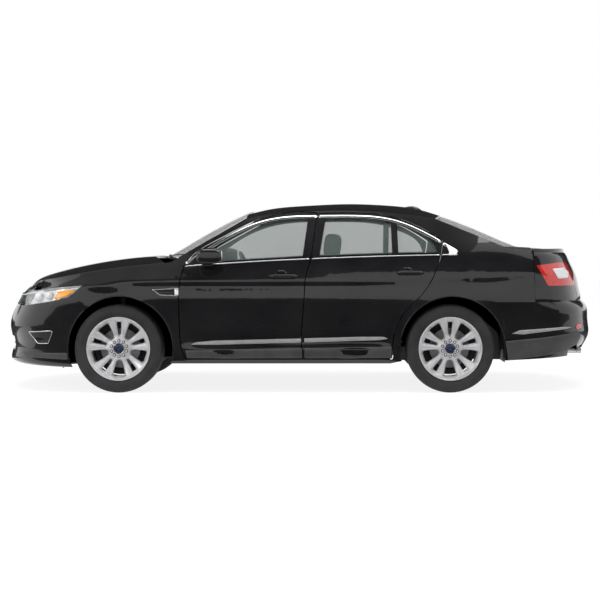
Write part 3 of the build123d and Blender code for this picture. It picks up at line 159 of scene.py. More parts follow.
def addNoise(mat, shader, scale, colorA=None, colorB=None, roughA=None, roughB=None, bump=0.0,
             bumpScale=None, detail=4.0):
    tree = mat.node_tree
    coords = tree.nodes.new("ShaderNodeTexCoord")
    noise = tree.nodes.new("ShaderNodeTexNoise")
    noise.inputs["Scale"].default_value = scale
    noise.inputs["Detail"].default_value = detail
    tree.links.new(coords.outputs["Object"], noise.inputs["Vector"])
    if colorA is not None:
        ramp = tree.nodes.new("ShaderNodeValToRGB")
        ramp.color_ramp.elements[0].position = .3
        ramp.color_ramp.elements[1].position = .7
        ramp.color_ramp.elements[0].color = (*colorA, 1)
        ramp.color_ramp.elements[1].color = (*colorB, 1)
        tree.links.new(noise.outputs["Fac"], ramp.inputs["Fac"])
        tree.links.new(ramp.outputs["Color"], shader.inputs["Base Color"])
    if roughA is not None:
        spread = tree.nodes.new("ShaderNodeMapRange")
        spread.inputs["To Min"].default_value = roughA
        spread.inputs["To Max"].default_value = roughB
        tree.links.new(noise.outputs["Fac"], spread.inputs["Value"])
        tree.links.new(spread.outputs["Result"], shader.inputs["Roughness"])
    if bump:
        grain = tree.nodes.new("ShaderNodeTexNoise")
        grain.inputs["Scale"].default_value = bumpScale or scale
        grain.inputs["Detail"].default_value = 3
        tree.links.new(coords.outputs["Object"], grain.inputs["Vector"])
        relief = tree.nodes.new("ShaderNodeBump")
        relief.inputs["Strength"].default_value = bump
        relief.inputs["Distance"].default_value = .001
        tree.links.new(grain.outputs["Fac"], relief.inputs["Height"])
        tree.links.new(relief.outputs["Normal"], shader.inputs["Normal"])
    return mat


paintLook = {"color": (.006, .006, .007), "roughness": .22, "coat": 1.0, "coatRoughness": .03}
blackPaint, shader = newMaterial("blackPaint", paintLook["color"], paintLook["roughness"])
shader.inputs["Coat Weight"].default_value = paintLook["coat"]
shader.inputs["Coat Roughness"].default_value = paintLook["coatRoughness"]
shader.inputs["Specular IOR Level"].default_value = .2
addNoise(blackPaint, shader, 3.5, (.005, .005, .006), (.009, .009, .01), .2, .3)

chromeTrim, shader = newMaterial("chromeTrim", (.86, .87, .88), .08, 1.0)
addNoise(chromeTrim, shader, 25, (.8, .81, .82), (.9, .9, .91), .05, .12)
windowGlass, shader = newMaterial("windowGlass", (.16, .2, .185), .03)
shader.inputs["Alpha"].default_value = .27
shader.inputs["Coat Weight"].default_value = 1.0
addNoise(windowGlass, shader, 2.2, (.13, .17, .155), (.18, .22, .2), .02, .05)
lampGlass, shader = newMaterial("lampGlass", (.75, .78, .8), .03)
shader.inputs["Alpha"].default_value = .3
shader.inputs["Coat Weight"].default_value = 1.0
addNoise(lampGlass, shader, 14, (.7, .73, .75), (.8, .82, .84), .02, .06)
redLens, shader = newMaterial("redLens", (.5, .015, .015), .1)
shader.inputs["Coat Weight"].default_value = 1.0
addNoise(redLens, shader, 60, (.42, .012, .012), (.6, .025, .02), .06, .14)
amberLens, shader = newMaterial("amberLens", (.75, .2, .015), .12)
addNoise(amberLens, shader, 80, (.75, .26, .02), (.9, .38, .05), .08, .16)
clearLens, shader = newMaterial("clearLens", (.7, .7, .7), .1)
addNoise(clearLens, shader, 90, (.6, .6, .61), (.8, .8, .8), .06, .14)
blackTrim, shader = newMaterial("blackTrim", (.012, .012, .013), .45)
addNoise(blackTrim, shader, 8, (.009, .009, .01), (.017, .017, .018), .38, .55, .25, 900)
glossBlack, shader = newMaterial("glossBlack", (.006, .006, .007), .08)
addNoise(glossBlack, shader, 12, (.005, .005, .006), (.009, .009, .01), .05, .14)
tyreRubber, shader = newMaterial("tyreRubber", (.018, .018, .019), .75)
addNoise(tyreRubber, shader, 9, (.013, .013, .014), (.026, .026, .027), .68, .85, .3, 700)
wheelAlloy, shader = newMaterial("wheelAlloy", (.6, .6, .61), .36, .4)
addNoise(wheelAlloy, shader, 18, (.56, .56, .57), (.64, .64, .65), .3, .42, .05, 900)
discSteel, shader = newMaterial("discSteel", (.4, .4, .41), .42, .35)
addNoise(discSteel, shader, 40, (.34, .34, .35), (.46, .46, .47), .36, .5)
seatLeather, shader = newMaterial("seatLeather", (.2, .195, .18), .5)
addNoise(seatLeather, shader, 6, (.17, .165, .152), (.235, .228, .21), .42, .58, .5, 420)
cabinPlastic, shader = newMaterial("cabinPlastic", (.06, .06, .06), .6)
addNoise(cabinPlastic, shader, 7, (.05, .05, .05), (.075, .075, .073), .52, .68, .4, 650)
innerMetal, shader = newMaterial("innerMetal", (.03, .03, .032), .4)
addNoise(innerMetal, shader, 5, (.024, .024, .026), (.04, .04, .042), .34, .5)
castIron, shader = newMaterial("castIron", (.045, .045, .048), .6, .4)
addNoise(castIron, shader, 30, (.035, .035, .038), (.06, .058, .055), .5, .72, .4, 260)
engineAlloy, shader = newMaterial("engineAlloy", (.3, .3, .31), .45, .8)
addNoise(engineAlloy, shader, 22, (.22, .22, .23), (.36, .36, .37), .38, .56, .4, 300)
exhaustSteel, shader = newMaterial("exhaustSteel", (.5, .5, .51), .25, 1.0)
addNoise(exhaustSteel, shader, 16, (.42, .41, .4), (.56, .56, .57), .18, .34)
valanceGrey, shader = newMaterial("valanceGrey", (.04, .04, .041), .55)
addNoise(valanceGrey, shader, 9, (.034, .034, .035), (.05, .05, .051), .48, .62, .25, 900)
brightTrim, shader = newMaterial("brightTrim", (.8, .8, .81), .3, .2)
addNoise(brightTrim, shader, 25, (.76, .76, .77), (.84, .84, .85), .26, .36)
# grey for painted highlights: flat patches that stand in for the sheen of the studio light on the rear bumper and the
# lower door ledges
paintedHighlightGrey, shader = newMaterial("paintedHighlightGrey", (.3, .3, .305), .38, .2)
addNoise(paintedHighlightGrey, shader, 20, (.27, .27, .275), (.34, .34, .345), .32, .44)
capBlue, shader = newMaterial("capBlue", (.012, .018, .05), .2)
addNoise(capBlue, shader, 70, (.009, .014, .04), (.018, .026, .065), .14, .26)

slotMaterials = {
    "body_paint": blackPaint, "window_glass": windowGlass, "lamp_glass": lampGlass, "tail_lamp_lens": redLens,
    "grille_chrome": chromeTrim, "black_trim": blackTrim, "inner_metal": innerMetal, "cabin_trim": cabinPlastic,
    "seat_leather": seatLeather, "engine_metal": engineAlloy, "chassis_iron": castIron, "exhaust_steel": exhaustSteel,
    "wheel_alloy": wheelAlloy, "tyre_rubber": tyreRubber,
}
for part in frame["record"]["subparts"]:
    node = frame["nodes"][part["node"]]
    mat = slotMaterials[part["material_slot"]]
    if not node.material_slots:
        node.data.materials.append(mat)
    for place in node.material_slots:
        place.link = "OBJECT"
        place.material = mat
print("materials set")


# mesh makers
def makeMesh(name, verts, faces, mat, smooth=True):
    mesh = bpy.data.meshes.new(name)
    mesh.from_pydata([tuple(v) for v in verts], [], [tuple(f) for f in faces])
    mesh.validate()
    work = bmesh.new()
    work.from_mesh(mesh)
    bmesh.ops.remove_doubles(work, verts=work.verts, dist=1e-6)
    bmesh.ops.recalc_face_normals(work, faces=work.faces)
    work.to_mesh(mesh)
    work.free()
    for face in mesh.polygons:
        face.use_smooth = smooth
    mesh.materials.append(mat)
    obj = bpy.data.objects.new(name, mesh)
    scene.collection.objects.link(obj)
    return obj


def settle(obj, body, slotName, *nodes):
    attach(obj, body)
    if nodes:
        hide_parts(*nodes)
    return obj


def turns(count):
    return np.linspace(0, 2 * math.pi, count, endpoint=False)


def photoOutline(*spots):
    return [photoPoint(*spot) for spot in spots]


# a closed tube of one section along rings of points
def ringTube(rings, closedLoop=False):
    count = len(rings[0])
    verts = [p for ring in rings for p in ring]
    faces = []
    total = len(rings)
    for i in range(total if closedLoop else total - 1):
        j = (i + 1) % total
        for k in range(count):
            m = (k + 1) % count
            faces.append((i * count + k, i * count + m, j * count + m, j * count + k))
    if not closedLoop:
        faces.append(tuple(range(count)))
        faces.append(tuple((total - 1) * count + k for k in reversed(range(count))))
    return verts, faces


def resample(points, step):
    points = np.array(points, float)
    gaps = np.linalg.norm(np.diff(points, axis=0), axis=1)
    runs = np.concatenate([[0], np.cumsum(gaps)])
    marks = np.linspace(0, runs[-1], max(3, int(runs[-1] / step) + 1))
    return np.stack([np.interp(marks, runs, points[:, k]) for k in range(points.shape[1])], 1)


# a raised strip that follows a side-view line over the body's skin
def sideStrip(points, side, width, height, sink=.002, step=.02, closedLoop=False):
    path = resample(points, step)
    if closedLoop:
        path = path[:-1]
        ahead = np.roll(path, -1, 0) - np.roll(path, 1, 0)
    else:
        ahead = np.gradient(path, axis=0)
    ahead /= np.linalg.norm(ahead, axis=1)[:, None]
    rings = []
    for (x, z), (dx, dz) in zip(path, ahead):
        ring = []
        for angle in np.linspace(0, math.pi, 7):
            u = math.cos(angle) * width / 2
            px, pz = x - dz * u, z + dx * u
            ring.append(onSide(px, pz, side, height * math.sin(angle) ** .6))
        for u in (-width / 2, width / 2):
            px, pz = x - dz * u, z + dx * u
            ring.append(onSide(px, pz, side, -sink))
        rings.append(ring)
    return ringTube(rings, closedLoop)


# a thin plate inside a side-view outline, lying over the body's skin
def sidePatch(outline, side, out, thickness=.002, step=.012):
    outline = [tuple(p) for p in outline]
    edge = resample(outline + outline[:1], step)[:-1]
    low = edge.min(0)
    high = edge.max(0)
    inner = []
    for x in np.arange(low[0] + step, high[0], step):
        for z in np.arange(low[1] + step, high[1], step):
            if insideOutline(outline, x, z) and np.min(np.hypot(edge[:, 0] - x, edge[:, 1] - z)) > step * .5:
                inner.append((x, z))
    count = len(edge)
    flat = [Vector(p) for p in edge.tolist()] + [Vector(p) for p in inner]
    loop = [(i, (i + 1) % count) for i in range(count)]
    result = delaunay_2d_cdt(flat, loop, [], 1, 1e-6)
    points, faces = result[0], result[2]
    top = [onSide(p[0], p[1], side, out) for p in points]
    bottom = [onSide(p[0], p[1], side, out - thickness) for p in points]
    n = len(points)
    allFaces = [tuple(f) for f in faces] + [tuple(n + i for i in reversed(f)) for f in faces]
    used = {}
    for f in faces:
        for a, b in zip(f, list(f[1:]) + [f[0]]):
            used[(a, b)] = True
    for a, b in used:
        if (b, a) not in used:
            allFaces.append((b, a, n + a, n + b))
    return top + bottom, allFaces


def insideOutline(outline, x, z):
    inside = False
    for (x1, z1), (x2, z2) in zip(outline, outline[1:] + outline[:1]):
        if (z1 > z) != (z2 > z) and x < (x2 - x1) * (z - z1) / (z2 - z1) + x1:
            inside = not inside
    return inside


def joined(parts):
    verts, faces = [], []
    for v, f in parts:
        base = len(verts)
        verts.extend(v)
        faces.extend([tuple(i + base for i in face) for face in f])
    return verts, faces


# a rounded closed block: exponents under one square it up
def roundedBlock(center, size, turnY=0.0, squareness=.35, rings=24, spokes=40, crown=0.0, sideTaper=0.0):
    verts, faces = [], []
    cosT, sinT = math.cos(turnY), math.sin(turnY)
    for i in range(rings + 1):
        v = math.pi * (i / rings - .5)
        for j in range(spokes):
            w = 2 * math.pi * j / spokes
            cv, sv = math.cos(v), math.sin(v)
            cw, sw = math.cos(w), math.sin(w)
            rim = abs(cv) ** squareness
            x = size[0] / 2 * rim * math.copysign(abs(cw) ** squareness, cw)
            y = size[1] / 2 * rim * math.copysign(abs(sw) ** squareness, sw)
            z = size[2] / 2 * math.copysign(abs(sv) ** squareness, sv)
            if sv > 0:
                z += crown * (1 - (2 * x / size[0]) ** 2) * (1 - (2 * y / size[1]) ** 2)
            y *= 1 + sideTaper * z / size[2]
            verts.append((center[0] + x * cosT + z * sinT, center[1] + y, center[2] - x * sinT + z * cosT))
    for i in range(rings):
        for j in range(spokes):
            k = (j + 1) % spokes
            faces.append((i * spokes + j, i * spokes + k, (i + 1) * spokes + k, (i + 1) * spokes + j))
    return verts, faces


# profile of (radius, offset along the axle) turned about an axle along Y
def turnedShape(profile, center, side, steps=96, closedProfile=True):
    count = len(profile)
    verts, faces = [], []
    for i in range(steps):
        a = 2 * math.pi * i / steps
        for r, t in profile:
            verts.append((center[0] + r * math.cos(a), center[1] + side * t, center[2] + r * math.sin(a)))
    for i in range(steps):
        j = (i + 1) % steps
        for k in range(count if closedProfile else count - 1):
            m = (k + 1) % count
            faces.append((i * count + k, i * count + m, j * count + m, j * count + k))
    return verts, faces


# Geometry Nodes ring: copies of one small shape round the wheel's axle
def ringOfCopies(name, source, count, radius, center, mat, turned=False, start=0.0):
    tree = bpy.data.node_groups.new(name, "GeometryNodeTree")
    tree.interface.new_socket("Geometry", in_out="OUTPUT", socket_type="NodeSocketGeometry")
    countIn = tree.interface.new_socket("Count", in_out="INPUT", socket_type="NodeSocketInt")
    radiusIn = tree.interface.new_socket("Radius", in_out="INPUT", socket_type="NodeSocketFloat")
    nodes = tree.nodes
    link = tree.links.new
    entry = nodes.new("NodeGroupInput")
    leave = nodes.new("NodeGroupOutput")
    circle = nodes.new("GeometryNodeMeshCircle")
    link(entry.outputs["Count"], circle.inputs["Vertices"])
    link(entry.outputs["Radius"], circle.inputs["Radius"])
    copies = nodes.new("GeometryNodeInstanceOnPoints")
    shape = nodes.new("GeometryNodeObjectInfo")
    shape.inputs["Object"].default_value = source
    link(circle.outputs["Mesh"], copies.inputs["Points"])
    link(shape.outputs["Geometry"], copies.inputs["Instance"])
    if turned:
        place = nodes.new("GeometryNodeInputPosition")
        aim = nodes.new("FunctionNodeAlignEulerToVector")
        aim.axis = "X"
        link(place.outputs["Position"], aim.inputs["Vector"])
        link(aim.outputs["Rotation"], copies.inputs["Rotation"])
    stand = nodes.new("GeometryNodeTransform")
    stand.inputs["Rotation"].default_value = (math.pi / 2, start, 0)
    stand.inputs["Translation"].default_value = center
    real = nodes.new("GeometryNodeRealizeInstances")
    paint = nodes.new("GeometryNodeSetMaterial")
    paint.inputs["Material"].default_value = mat
    link(copies.outputs["Instances"], real.inputs["Geometry"])
    link(real.outputs["Geometry"], stand.inputs["Geometry"])
    link(stand.outputs["Geometry"], paint.inputs["Geometry"])
    link(paint.outputs["Geometry"], leave.inputs["Geometry"])
    holder = bpy.data.objects.new(name, bpy.data.meshes.new(name))
    scene.collection.objects.link(holder)
    mod = holder.modifiers.new(name, "NODES")
    mod.node_group = tree
    mod[countIn.identifier] = count
    mod[radiusIn.identifier] = radius
    graph = bpy.context.evaluated_depsgraph_get()
    mesh = bpy.data.meshes.new_from_object(holder.evaluated_get(graph))
    bpy.data.objects.remove(holder)
    obj = bpy.data.objects.new(name, mesh)
    scene.collection.objects.link(obj)
    return obj


# wheels: dished face with five pairs of spokes, barrel, nuts, cap and brake disc
wheelLook = {"faceRadius": .25, "capRadius": .031, "faceWall": .024, "nutCircle": .064, "nutOffset": .0735,
             "spokeRound": .015}
dishRadii = [.03, .058, .08, .11, .16, .2, .225, .25]
dishOffsets = [.07, .074, .066, .056, .064, .08, .094, .108]
narrowSizes = ((.112, .006), (.118, .022), (.17, .031), (.21, .039), (.222, .033))
wideSizes = ((.097, .012), (.102, .032), (.118, .05), (.14, .064), (.185, .086), (.21, .098),
             (.222, .096), (.229, .074))


def spokeHoles():
    holes = []
    for k in range(10):
        sizes = wideSizes if k % 2 else narrowSizes
        middle = math.radians(90 + 36 * k)
        edge = [(r, -math.asin(w / 2 / r)) for r, w in sizes]
        edge += [(r, math.asin(w / 2 / r)) for r, w in reversed(sizes)]
        outline = [(r * math.cos(middle + a), r * math.sin(middle + a)) for r, a in edge]
        holes.append([tuple(p) for p in resample(outline + outline[:1], .004)[:-1].tolist()])
    return holes


def wheelPlate():
    holes = spokeHoles()
    loops = []
    for radius, steps in ((wheelLook["faceRadius"], 150), (wheelLook["capRadius"], 48)):
        loops.append([(radius * math.cos(a), radius * math.sin(a)) for a in turns(steps)])
    loops += holes
    points = [p for loop in loops for p in loop]
    edges = []
    base = 0
    for loop in loops:
        edges.extend([(base + i, base + (i + 1) % len(loop)) for i in range(len(loop))])
        base += len(loop)
    holeEdge = np.array([p for hole in holes for p in hole])
    for r in np.arange(.038, .247, .006):
        for a in turns(int(2 * math.pi * r / .0065)):
            p = (r * math.cos(a), r * math.sin(a))
            if np.min(np.hypot(holeEdge[:, 0] - p[0], holeEdge[:, 1] - p[1])) < .003:
                continue
            if not any(insideOutline(hole, *p) for hole in holes):
                points.append(p)
    result = delaunay_2d_cdt([Vector(p) for p in points], edges, [], 4, 1e-7)
    flat = np.array([tuple(p) for p in result[0]])
    faces = []
    for face in result[2]:
        c = flat[list(face)].mean(0)
        if math.hypot(*c) > wheelLook["capRadius"] and not any(insideOutline(hole, *c) for hole in holes):
            faces.append(tuple(face))
    reach = np.min(np.hypot(flat[:, None, 0] - holeEdge[None, :, 0], flat[:, None, 1] - holeEdge[None, :, 1]), 1)
    radius = np.hypot(flat[:, 0], flat[:, 1])
    rounding = (1 - np.minimum(reach / .02, 1)) ** 1.6
    offset = np.interp(radius, dishRadii, dishOffsets) - wheelLook["spokeRound"] * rounding
    offset -= np.where(radius > .222, .02 * (1 - np.minimum(reach / .024, 1)), 0)
    return flat, faces, offset


plateFlat, plateFaces, plateOffset = wheelPlate()


def wheelFace(center, side):
    verts = []
    for drop in (0, wheelLook["faceWall"]):
        for p, o in zip(plateFlat, plateOffset):
            verts.append((center[0] - side * p[0], center[1] + side * (o - drop), center[2] + p[1]))
    n = len(plateFlat)
    faces = list(plateFaces) + [tuple(n + i for i in reversed(f)) for f in plateFaces]
    used = set()
    for f in plateFaces:
        used.update(zip(f, f[1:] + f[:1]))
    faces += [(b, a, n + a, n + b) for a, b in used if (b, a) not in used]
    return verts, faces


rimProfile = [(.2495, .106), (.2525, .1105), (.257, .1125), (.262, .111), (.262, .103), (.25, .1), (.25, -.1),
              (.262, -.102), (.262, -.112), (.252, -.112), (.24, -.104), (.236, -.09), (.232, 0), (.235, .08)]
tyreProfile = [(.25, -.1), (.25, .1), (.262, .1025), (.266, .107), (.27, .1105), (.278, .1135), (.284, .1135), (.286, .1155),
               (.304, .1172), (.316, .117), (.33, .1135), (.342, .1095), (.344, .1105), (.349, .108), (.356, .099), (.361, .09),
               (.363, .075), (.364, .062), (.356, .061), (.356, .051), (.364, .05), (.364, .013), (.356, .012), (.356, .002)]
tyreProfile += [(.364, .001), (.364, -.001)] + [(r, -t) for r, t in reversed(tyreProfile[2:-1])]
discProfile = [(.036, -.04), (.165, -.04), (.165, -.033), (.158, -.03), (.158, -.024), (.165, -.021), (.165, -.014), (.1, -.014),
               (.096, .03), (.036, .03)]
capProfile = [(.0005, .086), (.018, .0855), (.03, .0835), (.0385, .0795), (.04, .075), (.04, .056), (.0005, .056)]
capRing = [(.0395, .076), (.0425, .081), (.0465, .081), (.048, .077), (.047, .06), (.0395, .06)]
nutProfile = [(.0004, .012), (.005, .0115), (.0078, .009), (.0088, .004), (.0088, -.012), (.0004, -.012)]
pocketProfile = [(.0084, -.004), (.0135, -.004), (.0135, .001), (.0125, .0018), (.0094, .0018), (.0084, .001)]
treadLook = {"count": 72, "radius": .3605, "size": (.004, .05, .0045)}
axles = {"front": -1.479, "rear": 1.253}
wheelY = .8125
for endName, axleX in axles.items():
    for sideName, side in sides:
        center = (axleX, side * wheelY, .364)
        body = f"{endName}_wheel_{sideName}"
        shapes = [wheelFace(center, side), turnedShape(rimProfile, center, side, 120)]
        rim = makeMesh(f"rim_{endName}_{sideName}", *joined(shapes), wheelAlloy)
        settle(rim, body, "wheel_alloy", f"wheel_{endName}_{sideName}")
        tyre = makeMesh(f"tyreTread_{endName}_{sideName}", *turnedShape(tyreProfile, center, side, 120), tyreRubber)
        settle(tyre, body, "tyre_rubber", f"tyre_{endName}_{sideName}")
        disc = makeMesh(f"brakeDisc_{endName}_{sideName}", *turnedShape(discProfile, center, side, 72), discSteel)
        settle(disc, body, "exhaust_steel")
        cap = makeMesh(f"hubCap_{endName}_{sideName}", *turnedShape(capProfile, center, side, 40), capBlue)
        settle(cap, body, "black_trim")
        ring = makeMesh(f"hubRing_{endName}_{sideName}", *turnedShape(capRing, center, side, 40), chromeTrim)
        settle(ring, body, "grille_chrome")
        # each ring is built lying flat and stood up, so its small shape lies along Z there
        for label, profile, mat in (("lugNuts", nutProfile, wheelAlloy), ("nutPockets", pocketProfile, glossBlack)):
            small = makeMesh("smallShape", *turnedShape(profile, (0, 0, 0), 1, 14), mat)
            for v in small.data.vertices:
                v.co = (v.co.x, -v.co.z, v.co.y * -side)
            nuts = ringOfCopies(f"{label}_{endName}_{sideName}", small, 10, wheelLook["nutCircle"],
                                (center[0], center[1] + side * wheelLook["nutOffset"], center[2]), mat, False, math.radians(18))
            bpy.data.objects.remove(small)
            settle(nuts, body, "wheel_alloy" if label == "lugNuts" else "black_trim")
        blockShape = makeMesh("treadShape", *roundedBlock((0, 0, 0), treadLook["size"], 0, .2, 4, 8), tyreRubber)
        for v in blockShape.data.vertices:
            v.co = (v.co.x, v.co.z, v.co.y)
        tread = ringOfCopies(f"treadBlocks_{endName}_{sideName}", blockShape, treadLook["count"], treadLook["radius"],
                             (center[0], center[1] + side * .031, center[2]), tyreRubber, True)
        bpy.data.objects.remove(blockShape)
        settle(tread, body, "tyre_rubber")
print("wheels done")

# brake calipers and backing plates sit behind the discs, on the knuckles and the rear subframe
shieldProfile = [(.055, -.085), (.2, -.085), (.222, -.078), (.224, -.068), (.22, -.066), (.198, -.077), (.055, -.077)]
for endName, axleX in axles.items():
    for sideName, side in sides:
        carrier = f"steering_{sideName}" if endName == "front" else "body"
        lean = 1 if endName == "front" else -1
        middle = (axleX + lean * .135, side * (wheelY - .047), .364 + .05)
        shape = roundedBlock(middle, (.07, .03, .15), lean * .35, .4, 14, 24)
        caliper = makeMesh(f"caliper_{endName}_{sideName}", *shape, castIron)
        settle(caliper, carrier, "chassis_iron")
        center = (axleX, side * wheelY, .364)
        shield = makeMesh(f"backPlate_{endName}_{sideName}", *turnedShape(shieldProfile, center, side, 64), castIron)
        settle(shield, carrier, "chassis_iron")

# wheel arch liners, and the rolled lip round each arch
linerLook = {"wall": .004, "power": 3.2, "feet": {"front": (.26, .2), "rear": (.25, .26)}}
for endName, axleX in axles.items():
    for sideName, side in sides:
        reach, rise, shift, inner = (.469, .458, 0, .47) if endName == "front" else (.436, .452, .012, .578)
        curve = [(axleX + shift + reach, z) for z in np.linspace(linerLook["feet"][endName][0], .35, 5)]
        for a in np.linspace(math.radians(4), math.radians(176), 44):
            c, s = math.cos(a), math.sin(a)
            grow = (abs(c) ** linerLook["power"] + abs(s) ** linerLook["power"]) ** (-1 / linerLook["power"])
            curve.append((axleX + shift + reach * grow * c, .364 + rise * grow * s))
        curve += [(axleX + shift - reach, z) for z in np.linspace(.35, linerLook["feet"][endName][1], 5)]
        rings = []
        for x, z in curve:
            away = np.array((x - axleX - shift, max(z - .364, 0)))
            away = away / np.linalg.norm(away) * linerLook["wall"]
            edge = max(.64, min(.935, halfWidth(x, z) - .014))
            rings.append([(x, side * inner, z), (x, side * edge, z), (x + away[0], side * edge, z + away[1]),
                          (x + away[0], side * inner, z + away[1])])
        wallRings = [[(x, side * y, z) for x, z in curve] for y in (inner, inner - .004)]
        shape = joined([ringTube(rings), ringTube(wallRings)])
        liner = makeMesh(f"archLiner_{endName}_{sideName}", *shape, blackTrim)
        settle(liner, "body", "black_trim", *(["wheel_liners"] if (endName, sideName) == ("front", "left") else []))
        lipLine = [(axleX + .017 + .4345 * math.cos(a), .364 + .4345 * math.sin(a))
                   for a in np.linspace(math.radians(-13), math.radians(193), 60)]
        lip = makeMesh(f"archLip_{endName}_{sideName}", *sideStrip(lipLine, side, .009, .003), blackPaint)
        settle(lip, "body", "body_paint")
print("arches done")

# bright strips round the side windows, one run for each door and the rear corner
stripLook = {"width": .009, "height": .005, "topWidth": .025}


def lineRun(line, shift, x0, x1, count):
    return [(x, line(x) + shift) for x in np.linspace(x0, x1, count)]


windowTop = lines["windowTop"]
stripRuns = {
    "front_door": [lineRun(belt, .002, -.93, .09, 40), lineRun(windowTop, -.002, -.925, .15, 60)],
    "rear_door": [lineRun(belt, .002, .115, 1.165, 40), lineRun(windowTop, -.002, .17, 1.178, 60)],
    "body": [lineRun(belt, .002, 1.188, 1.312, 10), lineRun(windowTop, -.002, 1.2, 1.314, 10)],
}
tipOutline = photoOutline((447, 244), (452, 246.8), (457.9, 252.3), (456.5, 255), (449, 255.2), (450, 252))
for sideName, side in sides:
    for place, runs in stripRuns.items():
        shapes = [sideStrip(runs[0], side, stripLook["width"], stripLook["height"]),
                  sideStrip(runs[1], side, stripLook["topWidth"], stripLook["height"])]
        if place == "body":
            plug = makeMesh(f"windowTip_{sideName}", *sidePatch(tipOutline, side, .009, .013, .008), brightTrim)
            settle(plug, "body", "grille_chrome")
        strip = makeMesh(f"windowStrip_{place}_{sideName}", *joined(shapes), chromeTrim)
        settle(strip, "body" if place == "body" else f"{place}_{sideName}_body", "grille_chrome")

# door handles: a bowed bar with a dark cup behind it
handleLook = {"thick": .013, "bow": .034}
handleSpots = {"front_door": (-.242, 0.0, .963, (-.139, 1.012)), "rear_door": (.804, 1.037, .992, (.894, 1.037))}
for sideName, side in sides:
    for place, (x0, x1, z, cup) in handleSpots.items():
        rings = []
        for t in np.linspace(0, 1, 28):
            x = x0 + (x1 - x0) * t
            lift = handleLook["bow"] * min(1, math.sin(math.pi * t) * 2.2) + .001
            thick = handleLook["thick"] * (.55 + .45 * min(1, math.sin(math.pi * t) * 3))
            y = halfWidth(x, z) + lift
            rings.append([(x, side * (y + thick * .6 * math.cos(a)), z + thick * math.sin(a))
                          for a in turns(12)])
        bar = makeMesh(f"handle_{place}_{sideName}", *ringTube(rings), blackPaint)
        settle(bar, f"{place}_{sideName}_body", "body_paint")
        oval = [(cup[0] + .048 * math.cos(a), cup[1] - .036 + .034 * math.sin(a)) for a in turns(28)]
        dish = makeMesh(f"handleCup_{place}_{sideName}", *sidePatch(oval, side, .0012, .003, .008), glossBlack)
        settle(dish, f"{place}_{sideName}_body", "black_trim")

# mirrors
for sideName, side in sides:
    shell = roundedBlock((-.724, side * 1.004, 1.126), (.208, .152, .124), 0, .55, 26, 44, .004)
    foot = roundedBlock((-.741, side * .93, 1.058), (.1, .095, .034), 0, .45, 12, 24)
    neck = roundedBlock((-.741, side * .965, 1.072), (.08, .05, .05), 0, .6, 12, 24)
    mirror = makeMesh(f"mirrorShell_{sideName}", *joined([shell, foot, neck]), blackPaint)
    settle(mirror, f"front_door_{sideName}_body", "body_paint", f"mirror_{sideName}")
    pane = roundedBlock((-.6215, side * 1.004, 1.126), (.006, .118, .09), 0, .5, 12, 28)
    glass = makeMesh(f"mirrorGlass_{sideName}", *pane, chromeTrim)
    settle(glass, f"front_door_{sideName}_body", "grille_chrome")
print("doors dressed")

# lamps, vents and small trim on the skin, and painted highlights on the rear bumper and the lower door ledges
lampOutline = photoOutline((30, 291.5), (81, 285.6), (68, 297.5), (48.8, 302), (22.4, 306.4))
amberOutline = photoOutline((52, 300), (56.5, 291.5), (74.3, 289.8), (66, 296.5))
tailWindow = photoOutline((554.8, 269), (569.5, 267.8), (575, 272.6), (573, 278.4), (560.6, 279))
ventOutline = photoOutline((152.7, 289.8), (178, 288.4), (178, 295.8), (159.4, 295))
ventSlots = [photoOutline((157, 290.3), (174, 289.6), (174, 291.7), (158.5, 292)),
             photoOutline((159.5, 293), (174, 292.7), (174, 294.6), (161, 294.3))]
ventBlock = photoOutline((174.6, 289), (178.2, 288.8), (178.2, 295.6), (174.6, 295.4))
fogOutline = photoOutline((24.5, 333), (50, 331.2), (51, 332.8), (46.3, 344), (34.8, 344.3))
reflectorOutline = photoOutline((579.5, 327.8), (583, 325.4), (588.6, 325.6), (588, 329), (581, 330.8))
# painted highlight: a lens-shaped grey patch where the top of the rear bumper reflects the bright studio
bumperHighlight = photoOutline((512.5, 334), (520, 330.6), (545, 329), (566, 327.5),
                           (576, 328.2), (566, 329.8), (545, 332.2), (524, 334.6))
# painted highlights: lens-shaped grey patches along the lower ledge of each door, standing in for its reflection of
# the bright overhead
ledgeHighlights = {
    "front_door": ((190.5, 344.8), (196, 342.3), (215, 340.8), (301, 338.6), (301, 342.6), (215, 344.9)),
    "rear_door": ((304.2, 338.5), (360, 336.9), (383, 336.9), (388, 338.7), (380, 340.2), (304.2, 342.5)),
}
valanceRuns = {
    "front": ("body", photoOutline((15, 354), (36, 353.6), (66.5, 353.2), (66.8, 366.8), (36, 365), (26, 361))),
    "frontDoor": ("front_door", [(-.925, .353), (-.6, .36), (.031, .373), (.036, .288), (-.6, .287), (-.912, .29)]),
    "rearDoor": ("rear_door", [(.052, .373), (.77, .384), (.766, .29), (.052, .288)]),
    "rear": ("body", photoOutline((506, 341.5), (545, 337.9), (576, 333.8), (583, 332), (586.5, 338),
                                  (583, 346), (573, 350), (566, 353.5), (540, 357), (509, 361))),
}
